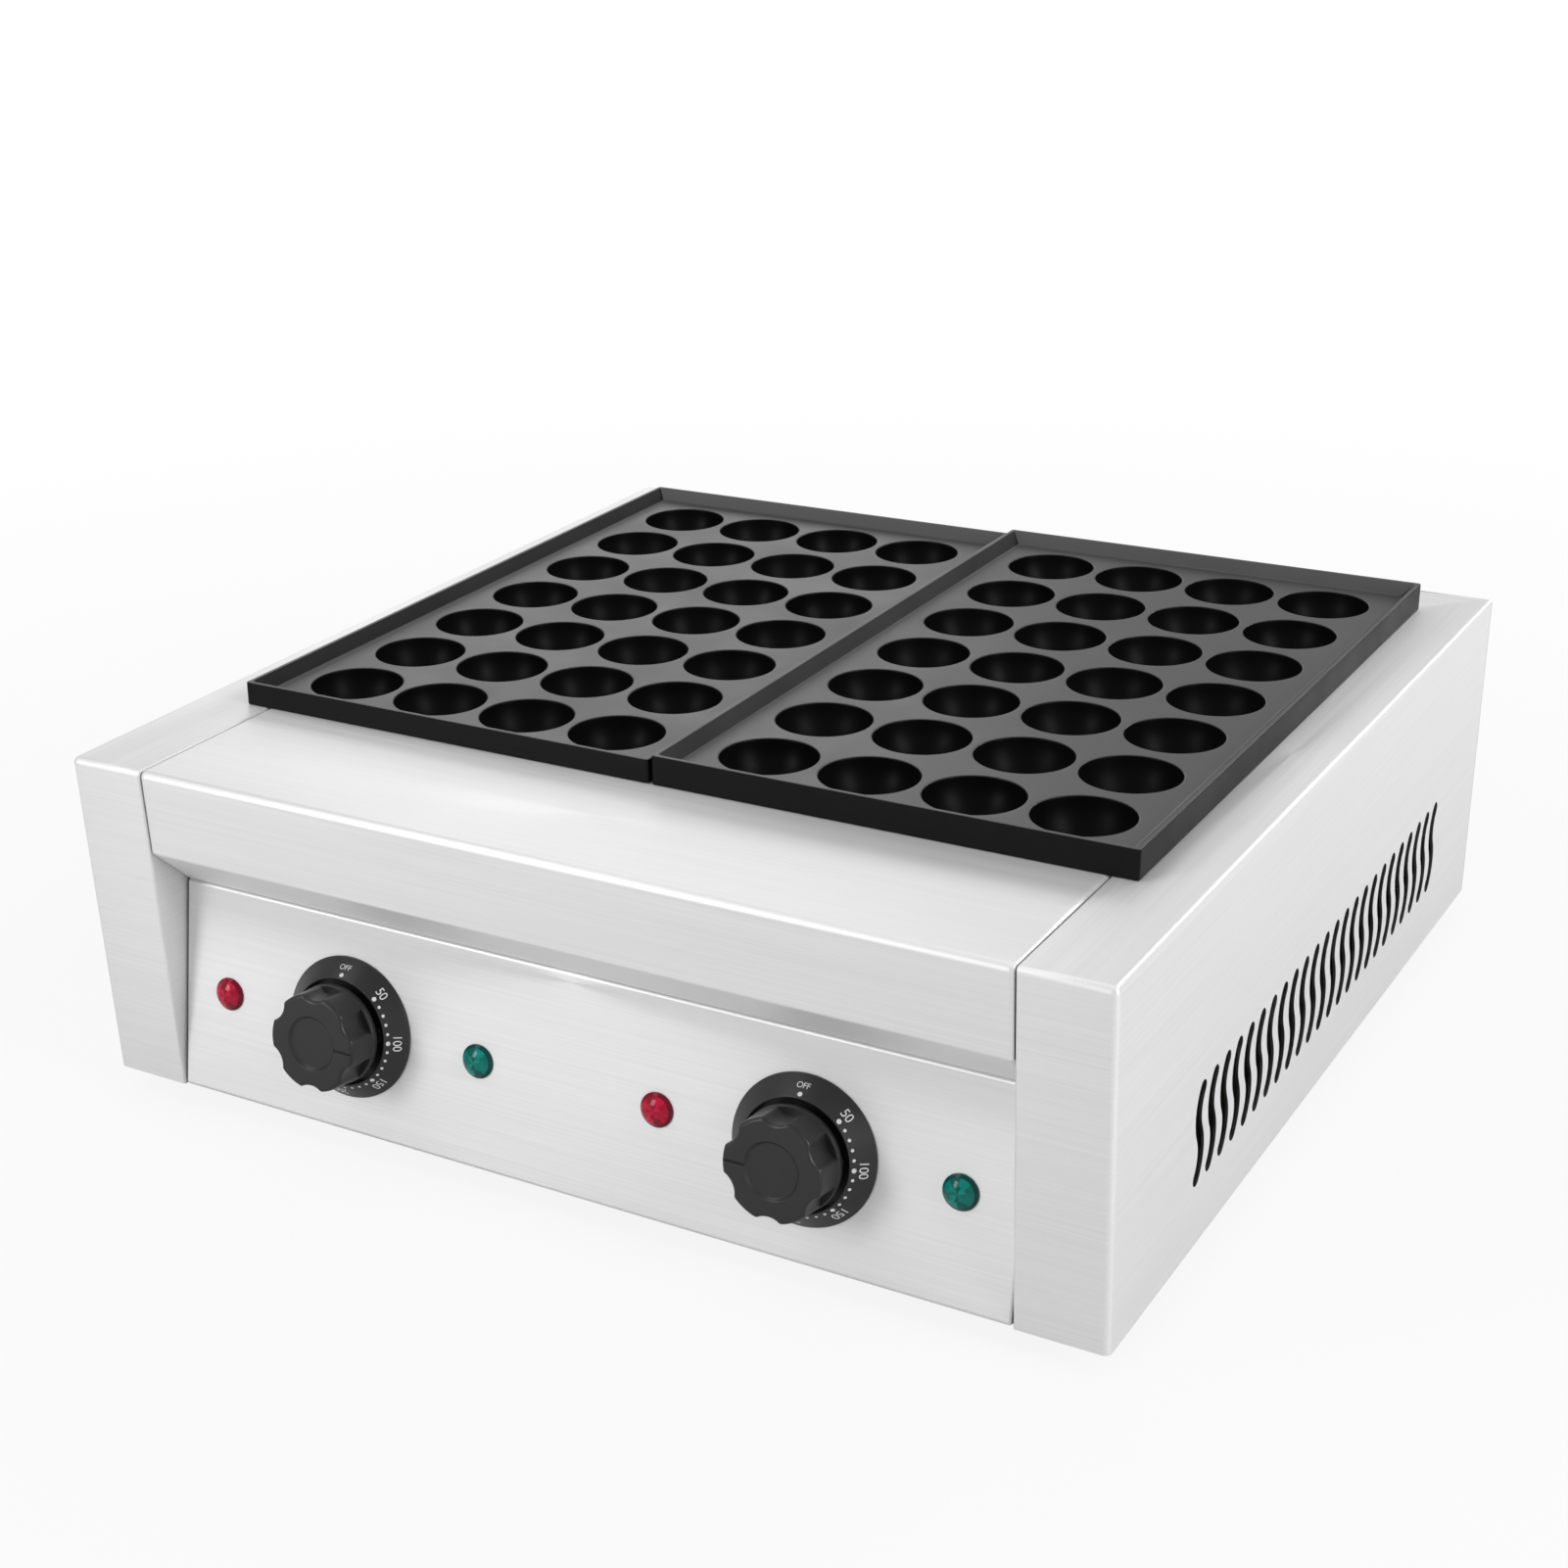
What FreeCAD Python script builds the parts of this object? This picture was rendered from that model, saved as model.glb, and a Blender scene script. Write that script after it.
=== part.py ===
import FreeCAD, Part
import Sketcher
import math
import os
import re

# A double-plate takoyaki grill: a folded stainless body on rubber feet, two cast plates that lift
# out, and two thermostat knobs on a control panel that leans back under a hood.
# Lengths are millimetres. X runs to the right, Y to the back, Z up; the origin is the middle of
# the floor area under the whole machine.

# name, value, meaning
SIZES = [
    ("foot_height", 10, "rubber foot, floor to underside of the body"),
    ("foot_radius", 10, "rubber foot at its top"),
    ("foot_taper", 1.5, "radius lost towards the floor"),
    ("foot_inset", 25, "foot centre to the outside of the body"),
    ("body_height", 148, "underside of the body to the top deck"),
    ("front_rake", 8.9, "how far the front edge goes back towards the foot"),
    ("side_strip", 25.8, "deck beside each plate"),
    ("front_strip", 84.5, "deck in front of the plates"),
    ("back_strip", 30, "deck behind the plates"),
    ("side_ledge", 10.8, "how far the side deck reaches under a plate"),
    ("front_ledge", 10, "how far the front deck reaches under a plate"),
    ("back_ledge", 6.6, "how far the back deck reaches under a plate"),
    ("sheet_gauge", 1.2, "body sheet"),
    ("liner_gauge", 0.8, "sheet inside the body"),
    ("bend_radius", 2, "outside of a visible bend"),
    ("edge_radius", 1, "rounding of the edges along the seams"),
    ("seam_gap", 0.9, "gap between the hood and a side panel"),
    ("sheet_gap", 0.3, "play between folded parts that lie on each other"),
    ("cutting_room", 3, "how far a cut starts and ends clear of the sheet"),
    ("return_width", 15, "flange at the foot of a panel"),
    ("recess_return", 26, "depth of the side walls of the control recess"),
    ("hood_drop", 37, "height of the hood's front lip"),
    ("hood_return", 18.7, "height of the slanting strip under the lip"),
    ("hood_tail", 12, "flange that lies on the control panel"),
    ("panel_tilt", 8.4, "lean of the control panel, degrees"),
    ("cup_columns", 4, "cups across one plate"),
    ("cup_rows", 7, "cups along one plate"),
    ("cup_radius", 20, "inside of a cup"),
    ("cup_lip", 0.8, "rounding of a cup's mouth"),
    ("cup_wall", 2, "wall of a cup"),
    ("column_pitch", 44.3, "cup to cup across"),
    ("row_pitch", 47.5, "cup to cup front to back"),
    ("plate_side_margin", 34.75, "outer cup to the side of the plate"),
    ("plate_end_margin", 33.25, "outer cup to the end of the plate"),
    ("plate_gap", 1.6, "between the two plates"),
    ("plate_floor", 2.8, "web between the cups"),
    ("basin_depth", 5.5, "rim top to the web"),
    ("rim_width", 1.8, "top of the plate's rim"),
    ("rim_draft", 4.7, "how far the rim widens down to the web"),
    ("casting_wall", 4, "wall of the plate below the web"),
    ("left_rim_height", 10.1, "left plate, seat to rim top"),
    ("right_rim_height", 12.3, "right plate, seat to rim top"),
    ("plate_seat_gap", 0.2, "plate above the deck"),
    ("well_gap", 0.4, "heater chamber to the edges of the deck opening"),
    ("chamber_flange", 8, "chamber flange under the deck"),
    ("divider_width", 24, "centre divider under the inner rims"),
    ("heater_radius", 4, "heater tube"),
    ("heater_legs", 4, "straight runs of one heater, an even number"),
    ("heater_gap", 6.3, "cup to heater tube"),
    ("heater_end_gap", 14, "heater bends to the chamber's end walls"),
    ("heater_tail", 18, "cold end in front of the chamber"),
    ("bush_radius", 7, "heater bush barrel"),
    ("bush_flange", 9.5, "heater bush flange"),
    ("bush_length", 9, "heater bush barrel length"),
    ("bush_rim", 2.2, "heater bush flange thickness"),
    ("rest_height", 4, "heater rest above the reflector"),
    ("rest_gauge", 1.5, "heater rest bar"),
    ("rest_width", 12, "heater rest bar, front to back"),
    ("rest_overhang", 14, "heater rest beyond the outer heater leg"),
    ("rest_inset", 92, "heater rest to the chamber's end wall"),
    ("pan_lip", 3, "upturned edge of a reflector pan"),
    ("pan_margin", 6, "reflector pan to the chamber wall"),
    ("mat_thickness", 12, "insulation mat"),
    ("mat_margin", 2, "mat to the chamber wall"),
    ("bulb_radius", 3, "sensor bulb"),
    ("bulb_length", 150, "sensor bulb"),
    ("bulb_rise", 9, "sensor bulb axis above the heater tube's top"),
    ("capillary_radius", 1, "capillary tube"),
    ("capillary_bend", 14, "bend radius of the capillary tube"),
    ("capillary_hole", 1.6, "radius of its hole in the chamber wall"),
    ("capillary_setback", 24, "capillary tube behind the control panel's face"),
    ("knob_offset", 104.7, "knob axis to the middle of the machine"),
    ("knob_rise", 46.1, "knob axis above the underside of the body"),
    ("knob_reach", 26.5, "panel to the knob's face"),
    ("knob_standoff", 9.8, "panel to the back of the knob's skirt"),
    ("knob_skirt", 20.9, "radius of the knob's skirt"),
    ("skirt_thickness", 2.4, "knob skirt"),
    ("grip_back", 20.7, "radius of the grip at the skirt"),
    ("grip_front", 20.4, "radius of the grip at the face"),
    ("grip_rounding", 1.2, "edge of the knob's face"),
    ("grip_count", 6, "finger hollows round the knob"),
    ("hollow_radius", 9, "finger hollow"),
    ("hollow_depth", 2.2, "finger hollow at the face"),
    ("hollow_rise", 1.2, "foot of a finger hollow above the skirt"),
    ("cap_radius", 11.5, "recess in the knob's face"),
    ("cap_depth", 1.1, "recess in the knob's face"),
    ("pointer_width", 1.4, "pointer groove"),
    ("pointer_depth", 0.9, "pointer groove"),
    ("hub_radius", 8, "knob hub behind the skirt"),
    ("hub_gap", 0.5, "hub to the dial bezel"),
    ("spindle_radius", 3, "thermostat spindle"),
    ("spindle_flat", 2.2, "axis to the flat of the spindle"),
    ("spindle_run", 0.05, "running clearance of the spindle in the thermostat"),
    ("spindle_grip", 0.02, "clearance of the spindle in the knob"),
    ("spindle_hold", 11, "spindle inside the knob"),
    ("spindle_tail", 14, "spindle inside the thermostat"),
    ("spindle_end", 0.3, "both ends of the spindle to the bottoms of their bores"),
    ("spindle_gap", 0.6, "spindle to the holes in panel and bezel"),
    ("bezel_radius", 30.1, "dial bezel"),
    ("bezel_edge", 1, "bezel thickness at its edge"),
    ("bezel_crest", 22.9, "radius of the bezel's crest, where its slope ends"),
    ("bezel_height", 8.2, "bezel's crest above the panel"),
    ("bezel_well", 22.4, "radius of the well inside the bezel's crest"),
    ("bezel_thickness", 1.8, "floor of the bezel's well"),
    ("bracket_width", 40, "thermostat bracket, across"),
    ("bracket_height", 24, "thermostat bracket, up the panel"),
    ("bracket_gauge", 1.5, "thermostat bracket"),
    ("thermostat_width", 34, "thermostat housing, across"),
    ("thermostat_height", 32, "thermostat housing, up the panel"),
    ("thermostat_depth", 28, "thermostat housing, front to back"),
    ("fixing_spacing", 28, "between the two thermostat screws"),
    ("small_shank", 1.75, "radius of a thermostat screw"),
    ("small_head", 3.4, "radius of its countersunk head"),
    ("screw_play", 0.25, "radial play of a screw in a clearance hole"),
    ("lamp_offset", 63.3, "lamp axis to the knob axis"),
    ("lamp_radius", 7.1, "lamp lens flange"),
    ("lamp_edge", 1.2, "lens flange thickness"),
    ("lamp_dome", 3.4, "lens height above the panel"),
    ("lamp_barrel", 5.8, "lamp body"),
    ("lamp_wall", 0.9, "wall of the lamp body"),
    ("lamp_length", 24, "lamp body behind the panel"),
    ("lamp_collar", 8, "collar behind the panel"),
    ("lamp_play", 0.2, "radial play of a lamp body in the panel and on the lens stem"),
    ("lamp_stem", 7, "lens stem inside the lamp body"),
    ("blade_width", 4.8, "push-on terminal"),
    ("blade_gauge", 0.8, "push-on terminal"),
    ("blade_length", 8, "push-on terminal"),
    ("vent_count", 24, "slots in one side"),
    ("vent_pitch", 13.2, "slot to slot"),
    ("vent_setback", 92.1, "first slot to the front edge"),
    ("vent_rise", 49, "middle of a slot above the underside of the body"),
    ("vent_height", 44, "slot end to end"),
    ("vent_width", 6.6, "slot width"),
    ("vent_sway", 2.8, "how far a slot swings to each side"),
    ("vent_lean", 3, "lean of a slot, its top to the back, degrees"),
    ("floor_vent_length", 90, "slots in the base plate"),
    ("floor_vent_width", 6, "slots in the base plate"),
    ("floor_vent_pitch", 16, "slots in the base plate"),
    ("floor_vent_count", 9, "slots in the base plate"),
    ("foot_screw_radius", 2.5, "screw through a foot"),
    ("foot_nut_radius", 4.6, "nut on a foot screw, across corners"),
    ("foot_nut_height", 4, "nut on a foot screw"),
    ("foot_head_radius", 4.5, "head of a foot screw"),
    ("foot_head_height", 3, "head of a foot screw"),
    ("foot_screw_end", 1, "foot screw beyond its nut"),
    ("foot_recess", 5, "hollow in the foot that takes the head"),
    ("panel_screw_radius", 2, "screws of the base and the back panel"),
    ("panel_head_radius", 3.8, "their heads"),
    ("panel_head_height", 2.2, "their heads"),
    ("panel_screw_length", 7, "their shanks"),
    ("base_screw_spacing", 150, "screws along the front and back of the base"),
    ("base_screw_inset", 9, "base screws to the edge of the body"),
    ("back_screw_inset", 12, "back panel screws to the body's side"),
    ("back_screw_margin", 22, "outer back panel screws to the body's top and underside"),
    ("back_screw_rows", 3, "back panel screws at one side"),
    ("gland_offset", 150, "cord gland to the middle of the machine"),
    ("gland_rise", 34, "cord gland above the underside of the body"),
    ("gland_bore", 4.2, "radius of the bore for the cord"),
    ("gland_barrel", 7.5, "radius of the gland's barrel"),
    ("gland_collar", 11, "radius of the gland's collar and nut"),
    ("gland_dome", 9, "radius of the gland's cap"),
    ("gland_stand", 12, "gland outside the back panel"),
    ("gland_collar_depth", 4, "collar of the gland"),
    ("gland_inside", 10, "barrel inside the back panel"),
    ("gland_nut_depth", 4, "nut inside the back panel"),
    ("block_length", 52, "terminal block, across"),
    ("block_width", 20, "terminal block, front to back"),
    ("block_height", 17, "terminal block"),
    ("block_setback", 70, "terminal block to the back panel"),
    ("block_ways", 3, "ways of the terminal block"),
    ("block_well", 4, "radius of a screw well in the terminal block"),
    ("stud_radius", 2.5, "earth stud"),
    ("stud_head", 4, "radius of its head and nut"),
    ("stud_height", 18, "earth stud above the base plate"),
    ("stud_setback", 40, "earth stud in front of the terminal block"),
]

# What follows from the sizes: name, expression. Each may use the sizes and the places above it.
PLACES = [
    ("seam_radius", "min(edge_radius; 0.9 * sheet_gauge)"),
    ("plate_width", "(cup_columns - 1) * column_pitch + 2 * plate_side_margin"),
    ("plate_length", "(cup_rows - 1) * row_pitch + 2 * plate_end_margin"),
    ("half_width", "plate_gap / 2 + plate_width + side_strip"),
    ("body_depth", "front_strip + plate_length + back_strip"),
    ("side_flange", "side_strip + side_ledge"),
    ("back_flange", "back_strip + back_ledge"),
    ("side_inner_x", "half_width - side_flange"),
    ("hood_half", "side_inner_x - seam_gap"),
    ("base_z", "foot_height"),
    ("top_z", "base_z + body_height"),
    ("deck_under_z", "top_z - sheet_gauge"),
    ("base_top_z", "base_z + 2 * sheet_gauge"),
    # the knob's face and the gland are the foremost and the rearmost points
    ("hollow_centre", "grip_front - hollow_depth + hollow_radius"),
    ("rim_cos", "(grip_front ^ 2 + hollow_centre ^ 2 - hollow_radius ^ 2)"
        " / (2 * grip_front * hollow_centre)"),
    ("knob_low", "(grip_front - grip_rounding) * rim_cos"),
    ("knob_ahead", "(knob_reach - grip_rounding) * cos(panel_tilt) + knob_low * sin(panel_tilt)"
        " + grip_rounding - front_rake - knob_rise * tan(panel_tilt)"),
    ("front_y", "(knob_ahead - body_depth - gland_stand) / 2"),
    ("panel_y", "front_y + front_rake"),
    ("back_y", "front_y + body_depth"),
    ("rake_slope", "front_rake / body_height"),
    # hood and control panel
    ("deck_back_y", "front_y + front_strip + front_ledge"),
    ("lip_z", "top_z - hood_drop"),
    ("lip_y", "front_y + hood_drop * rake_slope"),
    ("tail_z", "lip_z - hood_return"),
    ("tail_y", "panel_y + (tail_z - base_z) * tan(panel_tilt)"),
    ("panel_top_z", "tail_z - sheet_gap"),
    ("panel_top_y", "panel_y + (panel_top_z - base_z) * tan(panel_tilt)"),
    ("knob_y", "panel_y + knob_rise * tan(panel_tilt)"),
    ("knob_z", "base_z + knob_rise"),
    # plates
    ("plate_x", "plate_gap / 2 + plate_width / 2"),
    ("plate_front_y", "front_y + front_strip"),
    ("plate_y", "plate_front_y + plate_length / 2"),
    ("plate_seat_z", "top_z + plate_seat_gap"),
    ("cup_outer", "cup_radius + cup_wall"),
    ("first_column", "column_pitch * (cup_columns - 1) / 2"),
    ("first_row", "row_pitch * (cup_rows - 1) / 2"),
    ("rim_slope", "rim_draft / basin_depth"),
    ("lower_rim", "min(left_rim_height; right_rim_height)"),
    ("cup_under_z", "plate_seat_z + lower_rim - basin_depth - cup_lip - cup_outer"),
    # heater chamber, from the cups down
    ("heater_z", "cup_under_z - heater_gap - heater_radius"),
    ("rest_z", "heater_z - heater_radius"),
    ("pan_top_z", "rest_z - rest_height"),
    ("mat_top_z", "pan_top_z - liner_gauge"),
    ("chamber_floor_z", "mat_top_z - mat_thickness"),
    ("chamber_z", "chamber_floor_z - liner_gauge"),
    ("chamber_half", "side_inner_x - well_gap"),
    ("chamber_front_y", "deck_back_y + well_gap"),
    ("chamber_back_y", "back_y - back_flange - well_gap"),
    ("bay_front_y", "chamber_front_y + liner_gauge"),
    ("bay_back_y", "chamber_back_y - liner_gauge"),
    ("bay_half", "chamber_half - liner_gauge"),
    ("leg_pitch", "2 * first_column / (heater_legs - 1)"),
    ("bend_front_y", "bay_front_y + heater_end_gap + heater_radius + leg_pitch / 2"),
    ("bend_back_y", "bay_back_y - heater_end_gap - heater_radius - leg_pitch / 2"),
    ("heater_end_y", "chamber_front_y - heater_tail"),
    ("bulb_z", "heater_z + heater_radius + bulb_rise"),
    ("bulb_y", "plate_y - bulb_length / 2"),
    ("rest_front_y", "bay_front_y + rest_inset"),
    ("rest_spacing", "bay_back_y - bay_front_y - 2 * rest_inset - rest_width"),
    ("capillary_y", "knob_y + capillary_setback * cos(panel_tilt)"
        " + thermostat_height / 2 * sin(panel_tilt)"),
    ("capillary_z", "knob_z + thermostat_height / 2 * cos(panel_tilt)"
        " - capillary_setback * sin(panel_tilt) + capillary_radius * tan(panel_tilt)"),
    # vent slots: an S of two arcs
    ("vent_half", "(vent_height - vent_width) / 2"),
    ("vent_bow", "(vent_half ^ 2 / 4 + vent_sway ^ 2) / (2 * vent_sway)"),
    ("vent_cos", "(vent_bow - vent_sway) / vent_bow"),
    ("vent_sin", "vent_half / 2 / vent_bow"),
    ("vent_y", "front_y + vent_setback"),
    ("vent_z", "base_z + vent_rise"),
    # feet and screws
    ("foot_x", "half_width - foot_inset"),
    ("foot_front_y", "panel_y + foot_inset"),
    ("foot_back_y", "back_y - foot_inset"),
    ("base_front_y", "panel_y + sheet_gauge / cos(panel_tilt)"
        " + (base_top_z - base_z) * tan(panel_tilt) + sheet_gap"),
    ("base_back_y", "back_y - 2 * sheet_gauge - 2 * sheet_gap"),
    ("base_half", "half_width - sheet_gauge - sheet_gap"),
    ("base_screw_front_y", "panel_y + base_screw_inset"),
    ("base_screw_back_y", "back_y - base_screw_inset"),
    ("side_back_y", "back_y - sheet_gauge - sheet_gap"),
    ("back_screw_x", "half_width - back_screw_inset"),
    ("back_screw_z", "base_z + back_screw_margin"),
    ("back_screw_reach", "body_height - 2 * back_screw_margin"),
    ("gland_z", "base_z + gland_rise"),
    ("thermostat_back", "sheet_gauge + bracket_gauge + thermostat_depth"),
    ("block_y", "back_y - block_setback"),
    ("stud_y", "block_y - stud_setback"),
]

doc = FreeCAD.newDocument("takoyaki_grill")
sheet = doc.addObject("Spreadsheet::Sheet", "Sizes")
for line, (name, value, meaning) in enumerate(SIZES, start=1):
    sheet.set(f"A{line}", meaning)
    sheet.set(f"B{line}", str(value))
    sheet.setAlias(f"B{line}", name)
doc.recompute()

sizeNames = {name for name, value, meaning in SIZES}
placeNames = {name for name, expression in PLACES}
WORD = re.compile(r"[a-z_]+[a-z]")


def ref(text, inside=False):
    # the expression with each size and place as a reference to its cell or property
    def swap(match):
        word = match.group(0)
        if word in sizeNames:
            return f"Sizes.{word}"
        if word in placeNames and not inside:
            return f"Places.{word}"
        return word
    return WORD.sub(swap, str(text))


places = doc.addObject("App::VarSet", "Places")
for name, expression in PLACES:
    places.addProperty("App::PropertyFloat", name, "Places")
    places.setExpression(name, ref(expression, inside=True))
doc.recompute()


def number(text):
    # the value of an expression now
    return float(places.evalExpression(ref(text, inside=True)))


def bind(thing, path, text):
    thing.setExpression(path, ref(text))


def minus(text):
    return f"-({text})"


# ---- bodies, sketches and features ----


def newBody(label):
    body = doc.addObject("PartDesign::Body", label)
    body.Label = label
    body.AllowCompound = True
    return body


def origin(body, role):
    return next(item for item in body.Origin.OriginFeatures if item.Role == role)


def attach(feature, body, role, offset=("0", "0", "0")):
    feature.AttachmentSupport = [(origin(body, role), "")]
    feature.MapMode = "FlatFace"
    for axis, text in zip("xyz", offset):
        bind(feature, f"AttachmentOffset.Base.{axis}", text)


class Drawing:
    # a sketch on one of the body's planes in which every point is pinned to the sizes
    def __init__(self, body, name, role, depth="0", across="0", up="0"):
        self.sketch = body.newObject("Sketcher::SketchObject", name)
        attach(self.sketch, body, role, (across, up, depth))

    def fix(self, text, *constraint):
        index = self.sketch.addConstraint(Sketcher.Constraint(*constraint, number(text)))
        self.sketch.setExpression(f"Constraints[{index}]", ref(text))

    def pin(self, kind, geometry, point, text):
        self.fix(text, kind, -1, 1, geometry, point)

    def pinPoint(self, geometry, point, place):
        self.pin("DistanceX", geometry, point, place[0])
        self.pin("DistanceY", geometry, point, place[1])

    def at(self, place):
        return FreeCAD.Vector(number(place[0]), number(place[1]), 0)

    def join(self, lines, closed):
        follow = lines[1:] + lines[:1] if closed else lines[1:]
        for first, second in zip(lines, follow):
            self.sketch.addConstraint(Sketcher.Constraint("Coincident", first, 2, second, 1))

    def polygon(self, corners):
        lines = []
        for start, end in zip(corners, corners[1:] + corners[:1]):
            lines.append(self.sketch.addGeometry(Part.LineSegment(self.at(start), self.at(end))))
        self.join(lines, closed=True)
        for line, corner in zip(lines, corners):
            self.pinPoint(line, 1, corner)
        return self

    def rectangle(self, left, low, right, high):
        return self.polygon([(left, low), (right, low), (right, high), (left, high)])

    def line(self, start, end):
        line = self.sketch.addGeometry(Part.LineSegment(self.at(start), self.at(end)))
        self.pinPoint(line, 1, start)
        self.pinPoint(line, 2, end)
        return self

    def arc(self, centre, radius, start, end):
        # counter-clockwise from start to end
        middle = self.at(centre)
        circle = Part.Circle(middle, FreeCAD.Vector(0, 0, 1), number(radius))
        angles = []
        for place in (start, end):
            arm = self.at(place) - middle
            angles.append(math.atan2(arm.y, arm.x))
        arc = self.sketch.addGeometry(Part.ArcOfCircle(circle, angles[0], angles[1]))
        self.pinPoint(arc, 3, centre)
        self.fix(radius, "Radius", arc)
        for point, place, angle in ((1, start, angles[0]), (2, end, angles[1])):
            if abs(math.cos(angle)) > abs(math.sin(angle)):
                self.pin("DistanceY", arc, point, place[1])
            else:
                self.pin("DistanceX", arc, point, place[0])
        return self

    def circle(self, centre, radius):
        shape = Part.Circle(self.at(centre), FreeCAD.Vector(0, 0, 1), number(radius))
        circle = self.sketch.addGeometry(shape)
        self.pinPoint(circle, 3, centre)
        self.fix(radius, "Radius", circle)
        return self

    def folded(self, corners, gauge, side):
        # folded sheet seen from its edge: the outside runs through the corners, and the inside
        # is parallel to it, to the left of the way round (side 1) or to the right (side -1)
        sketch = self.sketch
        points = [self.at(corner) for corner in corners]
        thick = number(gauge)
        outside = []
        for start, end in zip(points, points[1:]):
            outside.append(sketch.addGeometry(Part.LineSegment(start, end)))
        self.join(outside, closed=False)
        for line, corner in zip(outside, corners):
            self.pinPoint(line, 1, corner)
        self.pinPoint(outside[-1], 2, corners[-1])
        ways = [(end - start).normalize() for start, end in zip(points, points[1:])]
        walls = [FreeCAD.Vector(-way.y * side, way.x * side, 0) for way in ways]
        inner = [points[0] + walls[0] * thick]
        for index in range(1, len(ways)):
            before = walls[index - 1]
            after = walls[index]
            inner.append(points[index] + (before + after) * (thick / (1 + before.dot(after))))
        inner.append(points[-1] + walls[-1] * thick)
        inside = []
        for start, end in zip(inner, inner[1:]):
            inside.append(sketch.addGeometry(Part.LineSegment(start, end)))
        self.join(inside, closed=False)
        for outer, line in zip(outside, inside):
            sketch.addConstraint(Sketcher.Constraint("Parallel", outer, line))
            self.fix(gauge, "Distance", line, 1, outer)
        for outer, line, point in ((outside[0], inside[0], 1), (outside[-1], inside[-1], 2)):
            place = 0 if point == 1 else -1
            end = sketch.addGeometry(Part.LineSegment(points[place], inner[place]))
            sketch.addConstraint(Sketcher.Constraint("Coincident", end, 1, outer, point))
            sketch.addConstraint(Sketcher.Constraint("Coincident", end, 2, line, point))
            sketch.addConstraint(Sketcher.Constraint("Perpendicular", end, outer))
        return self


def pad(body, drawing, length, name="pad"):
    feature = body.newObject("PartDesign::Pad", name)
    feature.Profile = drawing.sketch
    bind(feature, "Length", length)
    return feature


def cut(body, drawing, length, name="cut"):
    # a pocket that goes the way the sketch faces
    feature = body.newObject("PartDesign::Pocket", name)
    feature.Profile = drawing.sketch
    feature.Reversed = True
    bind(feature, "Length", length)
    return feature


def turn(body, drawing, name="turned"):
    feature = body.newObject("PartDesign::Revolution", name)
    feature.Profile = drawing.sketch
    feature.ReferenceAxis = (drawing.sketch, ["V_Axis"])
    feature.Angle = 360
    return feature


def turnAway(body, drawing, name="groove"):
    feature = body.newObject("PartDesign::Groove", name)
    feature.Profile = drawing.sketch
    feature.ReferenceAxis = (drawing.sketch, ["V_Axis"])
    feature.Angle = 360
    return feature


def pipe(body, section, path, name):
    feature = body.newObject("PartDesign::AdditivePipe", name)
    feature.Profile = section.sketch
    feature.Spine = (path.sketch, [])
    return feature


def block(body, name, low, size, removed=False):
    # a box from its low corner, added or taken away
    kind = "PartDesign::SubtractiveBox" if removed else "PartDesign::AdditiveBox"
    feature = body.newObject(kind, name)
    attach(feature, body, "XY_Plane", low)
    for side, text in zip(("Length", "Width", "Height"), size):
        bind(feature, side, text)
    return feature


def drum(body, name, role, place, radius, length, removed=False):
    # a cylinder that stands on a plane of the body and goes the way the plane faces
    kind = "PartDesign::SubtractiveCylinder" if removed else "PartDesign::AdditiveCylinder"
    feature = body.newObject(kind, name)
    attach(feature, body, role, place)
    bind(feature, "Radius", radius)
    bind(feature, "Height", length)
    return feature


def hole(body, name, role, place, radius, length):
    return drum(body, name, role, place, radius, length, removed=True)


def row(body, features, role, length, count, name="row"):
    pattern = body.newObject("PartDesign::LinearPattern", name)
    pattern.Originals = features
    pattern.Direction = (origin(body, role), [""])
    bind(pattern, "Length", length)
    bind(pattern, "Occurrences", count)
    body.Tip = pattern
    return pattern


def grid(body, feature, first, second, name="grid"):
    # each of first and second: axis role, length, count
    pattern = body.newObject("PartDesign::MultiTransform", name)
    pattern.Originals = [feature]
    steps = []
    for index, (role, length, count) in enumerate((first, second)):
        step = body.newObject("PartDesign::LinearPattern", f"{name}_{index}")
        step.Direction = (origin(body, role), [""])
        bind(step, "Length", length)
        bind(step, "Occurrences", count)
        steps.append(step)
    pattern.Transformations = steps
    body.Tip = pattern
    return pattern


def ring(body, feature, role, count, name="ring"):
    pattern = body.newObject("PartDesign::PolarPattern", name)
    pattern.Originals = [feature]
    pattern.Axis = (origin(body, role), [""])
    pattern.Angle = 360
    bind(pattern, "Occurrences", count)
    body.Tip = pattern
    return pattern


# how close a vertex must lie to a face or corner to count as on it
NEAR = 0.01


def roundEdges(body, radius, wanted, name="bend"):
    # fillet of every edge for which wanted(edge) holds
    doc.recompute()
    base = body.Tip
    names = []
    for index, edge in enumerate(base.Shape.Edges, start=1):
        if wanted(edge):
            names.append(f"Edge{index}")
    feature = body.newObject("PartDesign::Fillet", name)
    feature.Base = (base, names)
    bind(feature, "Radius", radius)
    return feature


def alongX(corners):
    # edges along X that pass through one of the given (y, z) corners
    spots = [(number(y), number(z)) for y, z in corners]

    def wanted(edge):
        ends = [vertex.Point for vertex in edge.Vertexes]
        if len(ends) != 2 or abs(ends[0].x - ends[1].x) < 1:
            return False
        return any(
            all(math.hypot(end.y - y, end.z - z) < NEAR for end in ends) for y, z in spots
        )
    return wanted


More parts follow.
